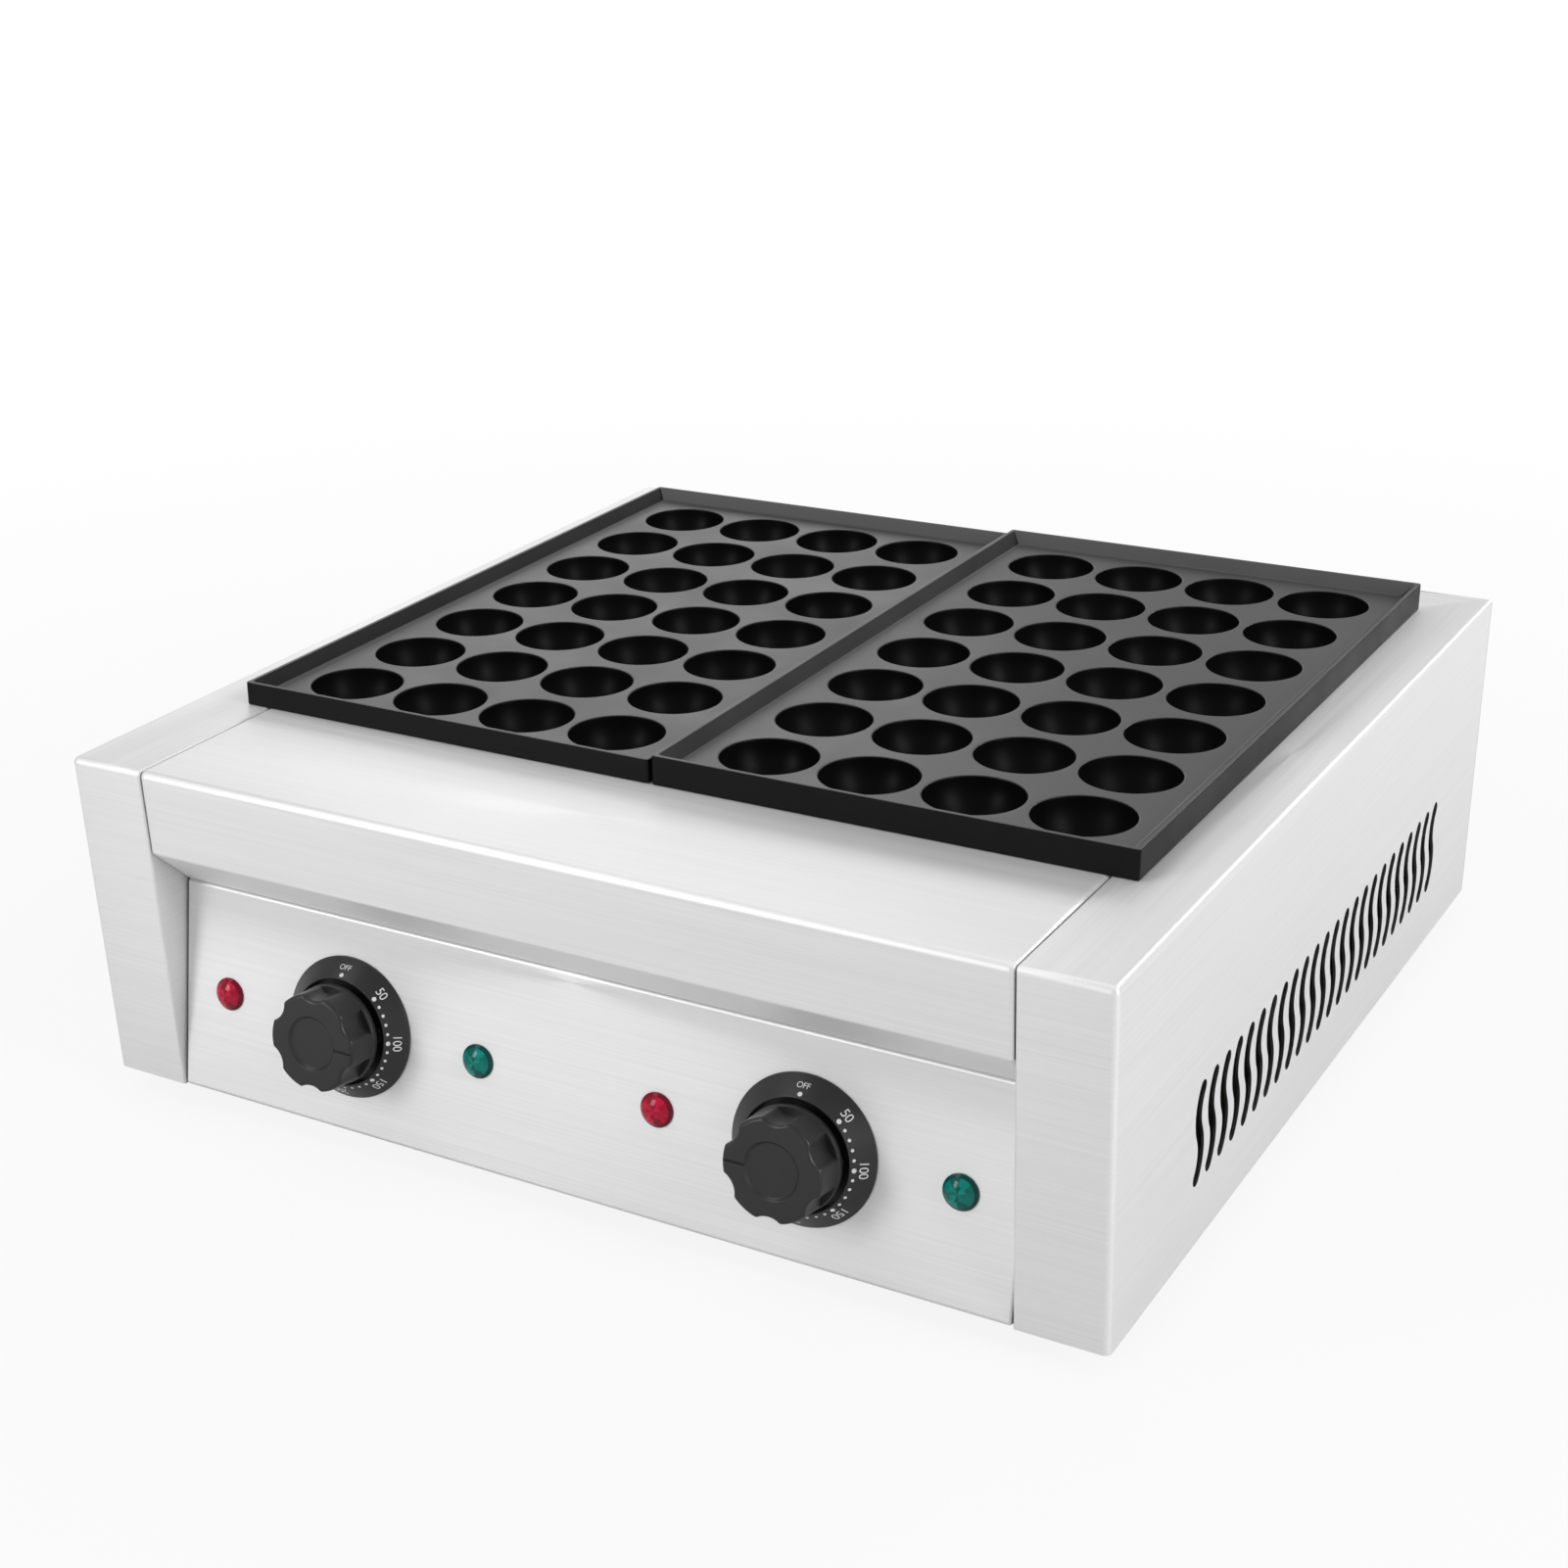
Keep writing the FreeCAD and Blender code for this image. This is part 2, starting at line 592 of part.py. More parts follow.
def alongSeam(reach, corners):
    # edges in the end plane of a folded sheet, reach from the middle, that follow its outside,
    # which runs through the given (y, z) corners
    end = number(reach)
    spots = [FreeCAD.Vector(end, number(y), number(z)) for y, z in corners]

    def onOutside(point):
        mirrored = FreeCAD.Vector(abs(point.x), point.y, point.z)
        for first, second in zip(spots, spots[1:]):
            way = second - first
            share = (mirrored - first).dot(way) / way.dot(way)
            nearest = first + way * min(max(share, 0), 1)
            if mirrored.distanceToPoint(nearest) < NEAR:
                return True
        return False

    return lambda edge: all(onOutside(vertex.Point) for vertex in edge.Vertexes)


def onPanel(body, x):
    # puts a body that was drawn about its own Z axis onto the control panel: Z points out of the
    # panel, Y up along it
    lean = FreeCAD.Rotation(FreeCAD.Vector(1, 0, 0), number("90 - panel_tilt"))
    body.Placement = FreeCAD.Placement(FreeCAD.Vector(number(x), 0, 0), lean)
    bind(body, "Placement.Base.x", x)
    bind(body, "Placement.Base.y", "knob_y")
    bind(body, "Placement.Base.z", "knob_z")
    bind(body, "Placement.Rotation.Angle", "90 - panel_tilt")


def signed(side, text):
    # a distance from the middle of the machine, for the left (-1) or the right (1) side
    return text if side > 0 else minus(text)


def span(side, near, far):
    # low end of a stretch from near to far, both measured outwards from the middle
    return near if side > 0 else minus(far)


# radii of the clearance holes for screws
PANEL_SCREW_HOLE = "panel_screw_radius + screw_play"
FOOT_SCREW_HOLE = "foot_screw_radius + screw_play"
SIDES = (("left", -1), ("right", 1))
LAMPS = (("red", -1), ("green", 1))
# steps of the patterns that several pieces share: axis, length, count
FOOT_STEPS = (("X_Axis", "2 * foot_x", "2"), ("Y_Axis", "foot_back_y - foot_front_y", "2"))
BASE_SCREW_STEPS = (
    ("X_Axis", "2 * base_screw_spacing", "3"),
    ("Y_Axis", "base_screw_back_y - base_screw_front_y", "2"),
)
BACK_SCREW_STEPS = (
    ("X_Axis", "2 * back_screw_x", "2"),
    ("Z_Axis", "back_screw_reach", "back_screw_rows"),
)
CUP_STEPS = (
    ("X_Axis", "column_pitch * (cup_columns - 1)", "cup_columns"),
    ("Y_Axis", "row_pitch * (cup_rows - 1)", "cup_rows"),
)


# ---- body panels ----


def frontLine(z, inset="0"):
    # y of the raked front face at a height, plus an inset
    return f"front_y + (top_z - ({z})) * rake_slope + {inset}"


def outline(inset):
    # a side panel seen from the side
    low = f"base_z + {inset}"
    high = f"top_z - {inset}"
    back = f"side_back_y - {inset}"
    return [
        (frontLine(low, inset), low),
        (back, low),
        (back, high),
        (frontLine(high, inset), high),
    ]


def ventSlot(drawing):
    # one S-shaped slot: two bowed walls on each side, joined by round ends
    bow = "vent_bow"
    half = "vent_width / 2"
    across = "vent_cos * vent_width / 2"
    along = "vent_sin * vent_width / 2"
    offset = "(vent_bow - vent_sway)"

    def place(u, v):
        # from the slot's middle, u to the back and v up, before the slot leans
        return (
            f"vent_y + ({u}) * cos(vent_lean) + ({v}) * sin(vent_lean)",
            f"vent_z + ({v}) * cos(vent_lean) - ({u}) * sin(vent_lean)",
        )

    upper = place(offset, "vent_half / 2")
    lower = place(minus(offset), minus("vent_half / 2"))
    topFront = place(minus(across), f"vent_half + {along}")
    topBack = place(across, f"vent_half - {along}")
    midFront = place(minus(across), minus(along))
    midBack = place(across, along)
    lowFront = place(minus(across), f"-vent_half + {along}")
    lowBack = place(across, f"-vent_half - {along}")
    drawing.arc(upper, f"{bow} + {half}", topFront, midFront)
    drawing.arc(upper, f"{bow} - {half}", topBack, midBack)
    drawing.arc(lower, f"{bow} + {half}", lowBack, midBack)
    drawing.arc(lower, f"{bow} - {half}", lowFront, midFront)
    drawing.arc(place("0", "vent_half"), half, topBack, topFront)
    drawing.arc(place("0", "-vent_half"), half, lowFront, lowBack)


def sidePanel(label, side):
    # a closed-in panel: outer wall, deck flange, raked front flange with the recess wall behind
    # it, back flange and foot flange
    body = newBody(label)
    shell = Drawing(body, "outline", "YZ_Plane", span(side, "side_inner_x", "half_width"))
    shell.polygon(outline("0"))
    pad(body, shell, "side_flange", "shell")
    near = span(side, "side_inner_x", "(half_width - sheet_gauge)")
    hollow = Drawing(body, "inside", "YZ_Plane", near)
    hollow.polygon(outline("sheet_gauge"))
    cut(body, hollow, "side_flange - sheet_gauge", "hollow")
    near = span(side, "side_inner_x", "(side_inner_x + sheet_gauge)")
    wall = Drawing(body, "recess", "YZ_Plane", near)
    low = "base_z + sheet_gauge / 2"
    high = "top_z - sheet_gauge / 2"
    wall.polygon([
        (frontLine(low, "sheet_gauge / 2"), low),
        (frontLine(low, "recess_return"), low),
        (frontLine(high, "recess_return"), high),
        (frontLine(high, "sheet_gauge / 2"), high),
    ])
    pad(body, wall, "sheet_gauge", "recess_wall")

    front = number("front_y")
    face = number("half_width")
    top = number("top_z")
    slope = number("rake_slope")

    def outerBend(edge):
        # edges where two of the outer wall, the deck flange and the front flange meet
        spots = [vertex.Point for vertex in edge.Vertexes]
        onWall = all(abs(abs(spot.x) - face) < NEAR for spot in spots)
        onTop = all(abs(spot.z - top) < NEAR for spot in spots)
        onFront = all(abs(spot.y - front - (top - spot.z) * slope) < NEAR for spot in spots)
        return len(spots) == 2 and onWall + onTop + onFront >= 2

    roundEdges(body, "bend_radius", outerBend, "outer_bends")
    seam = [("side_back_y", "top_z"), ("front_y", "top_z"), ("panel_y", "base_z")]
    roundEdges(body, "seam_radius", alongSeam("side_inner_x", seam), "seam_edges")
    # the deck flange is mitred at the back, along a line that runs out of the body's corner
    mitre = Drawing(body, "mitre", "XY_Plane", "deck_under_z - cutting_room")
    mitre.polygon([
        (signed(side, "side_inner_x"), "back_y - back_flange"),
        (signed(side, "(half_width + cutting_room)"), "back_y + cutting_room * back_flange / side_flange"),
        (signed(side, "side_inner_x"), "back_y + cutting_room"),
    ])
    cut(body, mitre, "sheet_gauge + cutting_room", "mitre_cut")
    near = span(side, "(half_width - cutting_room)", "(half_width + cutting_room)")
    slot = Drawing(body, "slot", "YZ_Plane", near)
    ventSlot(slot)
    vent = cut(body, slot, "2 * cutting_room", "vent")
    row(body, [vent], "Y_Axis", "vent_pitch * (vent_count - 1)", "vent_count", "vents")
    for end in ("foot_front_y", "foot_back_y"):
        place = (signed(side, "foot_x"), end, "base_z - cutting_room")
        hole(body, "foot_hole", "XY_Plane", place, FOOT_SCREW_HOLE, "2 * cutting_room")
    # the back panel's screws bite into the back flange; the XZ plane faces the front
    place = (signed(side, "back_screw_x"), "back_screw_z", minus("side_back_y + cutting_room"))
    bite = hole(body, "screw_hole", "XZ_Plane", place, "panel_screw_radius", "2 * cutting_room")
    row(body, [bite], "Z_Axis", "back_screw_reach", "back_screw_rows", "screw_holes")
    return body


def frontHood():
    body = newBody("front_hood")
    strip = Drawing(body, "section", "YZ_Plane", minus("hood_half"))
    corners = [
        ("deck_back_y", "top_z"),
        ("front_y", "top_z"),
        ("lip_y", "lip_z"),
        ("tail_y", "tail_z"),
        ("tail_y + hood_tail", "tail_z"),
    ]
    strip.folded(corners, "sheet_gauge", 1)
    pad(body, strip, "2 * hood_half", "sheet")
    roundEdges(body, "bend_radius", alongX(corners[1:3]), "outer_bends")
    roundEdges(body, "seam_radius", alongSeam("hood_half", corners[:4]), "seam_edges")
    return body


def baseHoles(body, y):
    # clearance holes for the base screws in a panel's foot flange
    place = (minus("base_screw_spacing"), y, "base_z - cutting_room")
    first = hole(body, "base_hole", "XY_Plane", place, PANEL_SCREW_HOLE, "2 * cutting_room")
    row(body, [first], "X_Axis", "2 * base_screw_spacing", "3", "base_holes")


def controlPanel():
    body = newBody("control_panel")
    strip = Drawing(body, "section", "YZ_Plane", minus("hood_half"))
    corners = [
        ("panel_top_y + hood_tail", "panel_top_z"),
        ("panel_top_y", "panel_top_z"),
        ("panel_y", "base_z"),
        ("panel_y + return_width", "base_z"),
    ]
    strip.folded(corners, "sheet_gauge", 1)
    pad(body, strip, "2 * hood_half", "sheet")
    roundEdges(body, "bend_radius", alongX(corners[1:3]), "outer_bends")
    roundEdges(body, "seam_radius", alongSeam("hood_half", corners), "seam_edges")
    # the holes are drawn on a plane that leans with the panel and cut through it from behind
    holes = Drawing(body, "holes", "XY_Plane")
    lean = FreeCAD.Rotation(FreeCAD.Vector(1, 0, 0), number("90 - panel_tilt"))
    holes.sketch.AttachmentOffset = FreeCAD.Placement(FreeCAD.Vector(0, 0, 0), lean)
    bind(holes.sketch, "AttachmentOffset.Base.y", "knob_y + cutting_room * cos(panel_tilt)")
    bind(holes.sketch, "AttachmentOffset.Base.z", "knob_z - cutting_room * sin(panel_tilt)")
    bind(holes.sketch, "AttachmentOffset.Rotation.Angle", "90 - panel_tilt")
    for name, side in SIDES:
        middle = signed(side, "knob_offset")
        holes.circle((middle, "0"), "spindle_radius + spindle_gap")
        for way in (-1, 1):
            holes.circle((f"{middle} + {way} * fixing_spacing / 2", "0"), "small_shank + screw_play")
            holes.circle((f"{middle} + {way} * lamp_offset", "0"), "lamp_barrel + lamp_play")
    cut(body, holes, "2 * cutting_room", "hole_cuts")
    baseHoles(body, "base_screw_front_y")
    return body


def backPanel():
    # full-width wall whose deck flange is mitred to the side panels and whose foot flange turns in
    body = newBody("back_panel")
    strip = Drawing(body, "section", "YZ_Plane", minus("half_width"))
    corners = [
        ("back_y - back_flange", "top_z"),
        ("back_y", "top_z"),
        ("back_y", "base_z"),
        ("back_y - return_width", "base_z"),
    ]
    strip.folded(corners, "sheet_gauge", -1)
    pad(body, strip, "2 * half_width", "sheet")
    for name, side in SIDES:
        mitre = Drawing(body, f"mitre_{name}", "XY_Plane", "deck_under_z - cutting_room")
        mitre.polygon([
            (signed(side, "(side_inner_x - sheet_gap)"), "back_y - back_flange"),
            (
                signed(side, "(half_width - sheet_gap - sheet_gauge * side_flange / back_flange)"),
                "back_y - sheet_gauge",
            ),
            (signed(side, "(half_width + cutting_room)"), "back_y - sheet_gauge"),
            (signed(side, "(half_width + cutting_room)"), "back_y - back_flange - cutting_room"),
            (signed(side, "(side_inner_x - sheet_gap)"), "back_y - back_flange - cutting_room"),
        ])
        cut(body, mitre, "sheet_gauge + 2 * cutting_room", f"mitre_cut_{name}")
        # the foot flange stops short of the side panels' foot flanges
        low = (
            span(side, "(side_inner_x - sheet_gap)", "(half_width + cutting_room)"),
            "back_y - return_width - cutting_room",
            "base_z - cutting_room",
        )
        size = (
            "side_flange + sheet_gap + cutting_room",
            "return_width + cutting_room - sheet_gauge",
            "2 * cutting_room",
        )
        block(body, f"notch_{name}", low, size, removed=True)
    roundEdges(body, "bend_radius", alongX([("back_y", "top_z")]), "outer_bends")
    place = (minus("back_screw_x"), "back_screw_z", minus("back_y + cutting_room"))
    first = hole(body, "screw_hole", "XZ_Plane", place, PANEL_SCREW_HOLE, "2 * cutting_room")
    grid(body, first, *BACK_SCREW_STEPS, "screw_holes")
    place = ("gland_offset", "gland_z", minus("back_y + cutting_room"))
    hole(body, "gland_hole", "XZ_Plane", place, "gland_barrel", "2 * cutting_room")
    baseHoles(body, "base_screw_back_y")
    return body


def basePlate():
    # lies on the foot flanges of all four panels
    body = newBody("base_plate")
    block(
        body, "plate",
        (minus("base_half"), "base_front_y", "base_z + sheet_gauge"),
        ("2 * base_half", "base_back_y - base_front_y", "sheet_gauge"),
    )
    # notches that clear the recess walls and the front flanges
    for name, side in SIDES:
        near = "(side_inner_x - sheet_gap)"
        far = "(side_inner_x + sheet_gauge + sheet_gap)"
        low = (span(side, near, far), "base_front_y - cutting_room", "base_z")
        size = ("sheet_gauge + 2 * sheet_gap", "recess_return + cutting_room", "2 * cutting_room")
        block(body, f"notch_{name}", low, size, removed=True)
    slot = Drawing(body, "slot", "XY_Plane", "base_z")
    start = "-(floor_vent_count - 1) * floor_vent_pitch / 2"
    slot.rectangle(
        f"{start} - floor_vent_width / 2", "plate_y - floor_vent_length / 2",
        f"{start} + floor_vent_width / 2", "plate_y + floor_vent_length / 2",
    )
    vent = cut(body, slot, "2 * cutting_room", "vent")
    row(body, [vent], "X_Axis", "floor_vent_pitch * (floor_vent_count - 1)", "floor_vent_count", "vents")
    place = (minus("foot_x"), "foot_front_y", "base_z")
    first = hole(body, "foot_hole", "XY_Plane", place, FOOT_SCREW_HOLE, "2 * cutting_room")
    grid(body, first, *FOOT_STEPS, "foot_holes")
    place = (minus("base_screw_spacing"), "base_screw_front_y", "base_z")
    first = hole(body, "screw_hole", "XY_Plane", place, "panel_screw_radius", "2 * cutting_room")
    grid(body, first, *BASE_SCREW_STEPS, "screw_holes")
    place = ("gland_offset", "stud_y", "base_z")
    hole(body, "stud_hole", "XY_Plane", place, "stud_radius", "2 * cutting_room")
    return body


# ---- heater chamber ----


def heaterChamber():
    # open-topped box that hangs by its flanges under the deck
    body = newBody("heater_chamber")
    deep = "deck_under_z - chamber_z"
    low = (minus("chamber_half"), "chamber_front_y", "chamber_z")
    block(body, "box", low, ("2 * chamber_half", "chamber_back_y - chamber_front_y", deep))
    low = (
        minus("chamber_half + chamber_flange"),
        "chamber_front_y - chamber_flange",
        "deck_under_z - liner_gauge",
    )
    size = (
        "2 * (chamber_half + chamber_flange)",
        "chamber_back_y - chamber_front_y + 2 * chamber_flange",
        "liner_gauge",
    )
    block(body, "flange", low, size)
    low = (minus("bay_half"), "bay_front_y", "chamber_floor_z")
    size = ("2 * bay_half", "bay_back_y - bay_front_y", f"{deep} + cutting_room")
    block(body, "inside", low, size, removed=True)
    # the XZ plane faces the front, so a hole starts behind the front wall
    behind = minus("chamber_front_y + cutting_room")
    for name, side in SIDES:
        middle = signed(side, "plate_x")
        for way in (-1, 1):
            place = (f"{middle} + {way} * first_column", "heater_z", behind)
            hole(body, "heater_hole", "XZ_Plane", place, "bush_radius", "2 * cutting_room")
        place = (middle, "bulb_z", behind)
        hole(body, "capillary_hole", "XZ_Plane", place, "capillary_hole", "2 * cutting_room")
    return body


def centreDivider():
    # upturned channel between the two zones; the inner rims of both plates sit on it
    body = newBody("centre_divider")
    front = "(bay_front_y + sheet_gap)"
    back = "(bay_back_y - sheet_gap)"
    half = "divider_width / 2"
    strip = Drawing(body, "section", "XZ_Plane", minus(back))
    corners = [
        (minus(half), "chamber_floor_z"),
        (minus(half), "top_z"),
        (half, "top_z"),
        (half, "chamber_floor_z"),
    ]
    strip.folded(corners, "sheet_gauge", -1)
    pad(body, strip, f"{back} - {front}", "sheet")
    return body


def bayBlock(body, name, side, margin, low, high, removed=False):
    # a box that fills one heater bay but for a margin all round
    inner = f"(divider_width / 2 + {margin})"
    outer = f"(bay_half - {margin})"
    corner = (span(side, inner, outer), f"bay_front_y + {margin}", low)
    size = (f"{outer} - {inner}", f"bay_back_y - bay_front_y - 2 * {margin}", f"{high} - {low}")
    return block(body, name, corner, size, removed)


def insulationMat(label, side):
    body = newBody(label)
    bayBlock(body, "mat", side, "mat_margin", "chamber_floor_z", "mat_top_z")
    return body


def reflectorPan(label, side):
    body = newBody(label)
    bayBlock(body, "pan", side, "pan_margin", "mat_top_z", "(pan_top_z + pan_lip)")
    inside = "(pan_margin + liner_gauge)"
    high = "(pan_top_z + pan_lip + cutting_room)"
    bayBlock(body, "hollow", side, inside, "pan_top_z", high, removed=True)
    return body


def heaterElement(label, side):
    # one tube that runs to and fro under the cups, with both ends in front of the chamber
    body = newBody(label)
    count = round(number("heater_legs"))
    legs = [f"{signed(side, 'plate_x')} - first_column + {index} * leg_pitch" for index in range(count)]
    path = Drawing(body, "path", "XY_Plane", "heater_z")
    for index, leg in enumerate(legs):
        start = "heater_end_y" if index in (0, count - 1) else "bend_front_y"
        path.line((leg, start), (leg, "bend_back_y"))
    for index, (leg, following) in enumerate(zip(legs, legs[1:])):
        atBack = index % 2 == 0
        bend = "bend_back_y" if atBack else "bend_front_y"
        first, second = (following, leg) if atBack else (leg, following)
        path.arc((f"({leg} + {following}) / 2", bend), "leg_pitch / 2", (first, bend), (second, bend))
    section = Drawing(body, "section", "XZ_Plane", minus("heater_end_y"))
    section.circle((legs[0], "heater_z"), "heater_radius")
    pipe(body, section, path, "tube")
    return body


def heaterRests(label, side):
    # two bars on short legs that carry the heater, each with a post for the sensor bulb
    body = newBody(label)
    middle = signed(side, "plate_x")
    reach = "(first_column + rest_overhang)"
    bar = block(
        body, "bar",
        (f"{middle} - {reach}", "rest_front_y", "rest_z - rest_gauge"),
        (f"2 * {reach}", "rest_width", "rest_gauge"),
    )
    pieces = [bar]
    for name, left in (("left", f"{middle} - {reach}"), ("right", f"{middle} + {reach} - rest_gauge")):
        pieces.append(block(
            body, f"{name}_leg",
            (left, "rest_front_y", "pan_top_z"),
            ("rest_gauge", "rest_width", "rest_height"),
        ))
    pieces.append(block(
        body, "post",
        (f"{middle} - bulb_radius", "rest_front_y", "rest_z - rest_gauge"),
        ("2 * bulb_radius", "rest_width", "bulb_z - bulb_radius - rest_z + rest_gauge"),
    ))
    row(body, pieces, "Y_Axis", "rest_spacing", "2", "rests")
    return body


def heaterBushes(label, side):
    # sleeves that hold the tube's two ends in the chamber's front wall
    body = newBody(label)
    behind = minus("bay_front_y + bush_length / 2")
    for way in (-1, 1):
        across = f"{signed(side, 'plate_x')} + {way} * first_column"
        drum(body, "barrel", "XZ_Plane", (across, "heater_z", behind), "bush_radius", "bush_length")
        front = (across, "heater_z", minus("chamber_front_y"))
        drum(body, "rim", "XZ_Plane", front, "bush_flange", "bush_rim")
        hole(body, "bore", "XZ_Plane", (across, "heater_z", behind), "heater_radius", "2 * bush_length")
    return body


def sensorBulb(label, side):
    # bulb that lies on the posts between the cups, and its capillary tube down to the thermostat
    body = newBody(label)
    across = signed(side, "plate_x")
    place = (across, "bulb_z", minus("bulb_y + bulb_length"))
    drum(body, "bulb", "XZ_Plane", place, "bulb_radius", "bulb_length")
    path = Drawing(body, "path", "YZ_Plane", across)
    low = ("capillary_y", "bulb_z - capillary_bend")
    high = ("capillary_y + capillary_bend", "bulb_z")
    path.line(("capillary_y", "capillary_z"), low)
    path.arc(("capillary_y + capillary_bend", "bulb_z - capillary_bend"), "capillary_bend", high, low)
    path.line(high, ("bulb_y + bulb_radius", "bulb_z"))
    section = Drawing(body, "section", "XY_Plane", "capillary_z")
    section.circle((across, "capillary_y"), "capillary_radius")
    pipe(body, section, path, "capillary")
    return body


# ---- grill plates ----


def grillPlate(label, side, rim_height):
    # cast plate with a basin on top, whose walls slope in, and a grid of cups that hang below it
    body = newBody(label)
    left = f"{signed(side, 'plate_x')} - plate_width / 2"
    web = f"plate_seat_z + {rim_height} - basin_depth"
    block(
        body, "casting",
        (left, "plate_front_y", "plate_seat_z"),
        ("plate_width", "plate_length", rim_height),
    )
    basin = body.newObject("PartDesign::SubtractiveWedge", "basin")
    attach(basin, body, "XZ_Plane", (signed(side, "plate_x"), web, minus("plate_y")))
    bind(basin, "Ymax", "basin_depth + cutting_room")
    for level, inset in (("", "rim_width + rim_draft"), ("2", "rim_width - rim_slope * cutting_room")):
        for axis, length in (("X", "plate_width"), ("Z", "plate_length")):
            bind(basin, f"{axis}{level}max", f"{length} / 2 - ({inset})")
            bind(basin, f"{axis}{level}min", f"{inset} - {length} / 2")
    block(
        body, "underside",
        (f"{left} + casting_wall", "plate_front_y + casting_wall", "plate_seat_z - cutting_room"),
        (
            "plate_width - 2 * casting_wall",
            "plate_length - 2 * casting_wall",
            f"{rim_height} - basin_depth - plate_floor + cutting_room",
        ),
        removed=True,
    )
    across = f"{signed(side, 'plate_x')} - first_column"
    along = "plate_y - first_row"
    # each bowl is a ball cut off flat inside the web
    bowl = body.newObject("PartDesign::AdditiveSphere", "bowl")
    attach(bowl, body, "XY_Plane", (across, along, f"{web} - cup_lip"))
    bind(bowl, "Radius", "cup_outer")
    bowl.Angle1 = -90
    bind(bowl, "Angle2", "-asin((plate_floor - cup_lip) / 2 / cup_outer)")
    grid(body, bowl, *CUP_STEPS, "bowls")
    section = Drawing(body, "cup_section", "XZ_Plane", minus(along), across, web)
    mouth = "cup_radius + cup_lip"
    deepest = ("0", "-cup_lip - cup_radius")
    section.line(("0", "basin_depth"), (mouth, "basin_depth"))
    section.line((mouth, "basin_depth"), (mouth, "0"))
    section.arc((mouth, "-cup_lip"), "cup_lip", (mouth, "0"), ("cup_radius", "-cup_lip"))
    section.arc(("0", "-cup_lip"), "cup_radius", deepest, ("cup_radius", "-cup_lip"))
    section.line(deepest, ("0", "basin_depth"))
    cup = turnAway(body, section, "cup")
    grid(body, cup, *CUP_STEPS, "cups")
    return body


# ---- controls, drawn about their own Z axis and placed on the panel ----


def dShape(drawing, play):
    # round spindle section with one flat, which faces +Y
    radius = f"(spindle_radius + {play})"
    flat = f"(spindle_flat + {play})"
    reach = f"sqrt({radius} ^ 2 - {flat} ^ 2)"
    drawing.arc(("0", "0"), radius, (minus(reach), flat), (reach, flat))
    drawing.line((reach, flat), (minus(reach), flat))


def knob(label, side):
    # skirted knob with finger hollows, a recessed cap and a pointer groove, which points to the
    # middle of the machine
    body = newBody(label)
    section = Drawing(body, "section", "XZ_Plane")
    skirt = "(knob_standoff + skirt_thickness)"
    section.polygon([
        ("0", "bezel_thickness + hub_gap"),
        ("hub_radius", "bezel_thickness + hub_gap"),
        ("hub_radius", "knob_standoff"),
        ("knob_skirt", "knob_standoff"),
        ("knob_skirt", f"{skirt} - skirt_thickness / 4"),
        ("grip_back", skirt),
        ("grip_front", "knob_reach"),
        ("cap_radius", "knob_reach"),
        ("cap_radius - cap_depth", "knob_reach - cap_depth"),
        ("0", "knob_reach - cap_depth"),
    ])
    turn(body, section, "blank")
    # a finger hollow starts above the skirt, opens at the face and lies between two lobes
    place = (
        "hollow_centre * cos(180 / grip_count)",
        "hollow_centre * sin(180 / grip_count)",
        f"{skirt} + hollow_rise",
    )
    hollow = hole(body, "hollow", "XY_Plane", place, "hollow_radius", "knob_reach")
    ring(body, hollow, "Z_Axis", "grip_count", "hollows")
    face = number("knob_reach")
    middle = number("(cap_radius + grip_front) / 2")

    def faceRim(edge):
        spots = [vertex.Point for vertex in edge.Vertexes]
        onFace = all(abs(spot.z - face) < NEAR for spot in spots)
        return onFace and all(math.hypot(spot.x, spot.y) > middle for spot in spots)

    roundEdges(body, "grip_rounding", faceRim, "rim")
    inner = "(cap_radius - cap_depth)"
    outer = "(grip_back + cutting_room)"
    block(
        body, "pointer",
        (span(-side, inner, outer), "-pointer_width / 2", "knob_reach - pointer_depth"),
        (f"{outer} - {inner}", "pointer_width", "pointer_depth + cutting_room"),
        removed=True,
    )
    bore = Drawing(body, "bore", "XY_Plane", "0")
    dShape(bore, "spindle_grip")
    cut(body, bore, "knob_standoff + spindle_hold + spindle_end", "bore_cut")
    onPanel(body, signed(side, "knob_offset"))
    return body


def spindle(label, side):
    body = newBody(label)
    behind = "sheet_gauge + bracket_gauge + spindle_tail"
    section = Drawing(body, "section", "XY_Plane", minus(behind))
    dShape(section, "0")
    pad(body, section, f"{behind} + knob_standoff + spindle_hold", "shaft")
    onPanel(body, signed(side, "knob_offset"))
    return body


def dialBezel(label, side):
    # ring that slopes to its edge, round a well with countersunk screw holes that the knob hides
    body = newBody(label)
    section = Drawing(body, "section", "XZ_Plane")
    hole = "spindle_radius + spindle_gap"
    section.polygon([
        (hole, "0"),
        ("bezel_radius", "0"),
        ("bezel_radius", "bezel_edge"),
        ("bezel_crest", "bezel_height"),
        ("bezel_well", "bezel_height"),
        ("bezel_well", "bezel_thickness"),
        (hole, "bezel_thickness"),
    ])
    turn(body, section, "ring")
    # a screw hole is a cone that opens to the front over a straight hole
    cone = Drawing(body, "countersink", "XZ_Plane", "0", "-fixing_spacing / 2")
    cone.polygon([
        ("0", "-cutting_room"),
        ("small_shank + screw_play", "-cutting_room"),
        ("small_shank + screw_play", "bezel_thickness - small_head + small_shank"),
        ("small_head + screw_play", "bezel_thickness"),
        ("small_head + screw_play", "bezel_thickness + cutting_room"),
        ("0", "bezel_thickness + cutting_room"),
    ])
    sink = turnAway(body, cone, "sink")
    row(body, [sink], "X_Axis", "fixing_spacing", "2", "sinks")
    onPanel(body, signed(side, "knob_offset"))
    return body


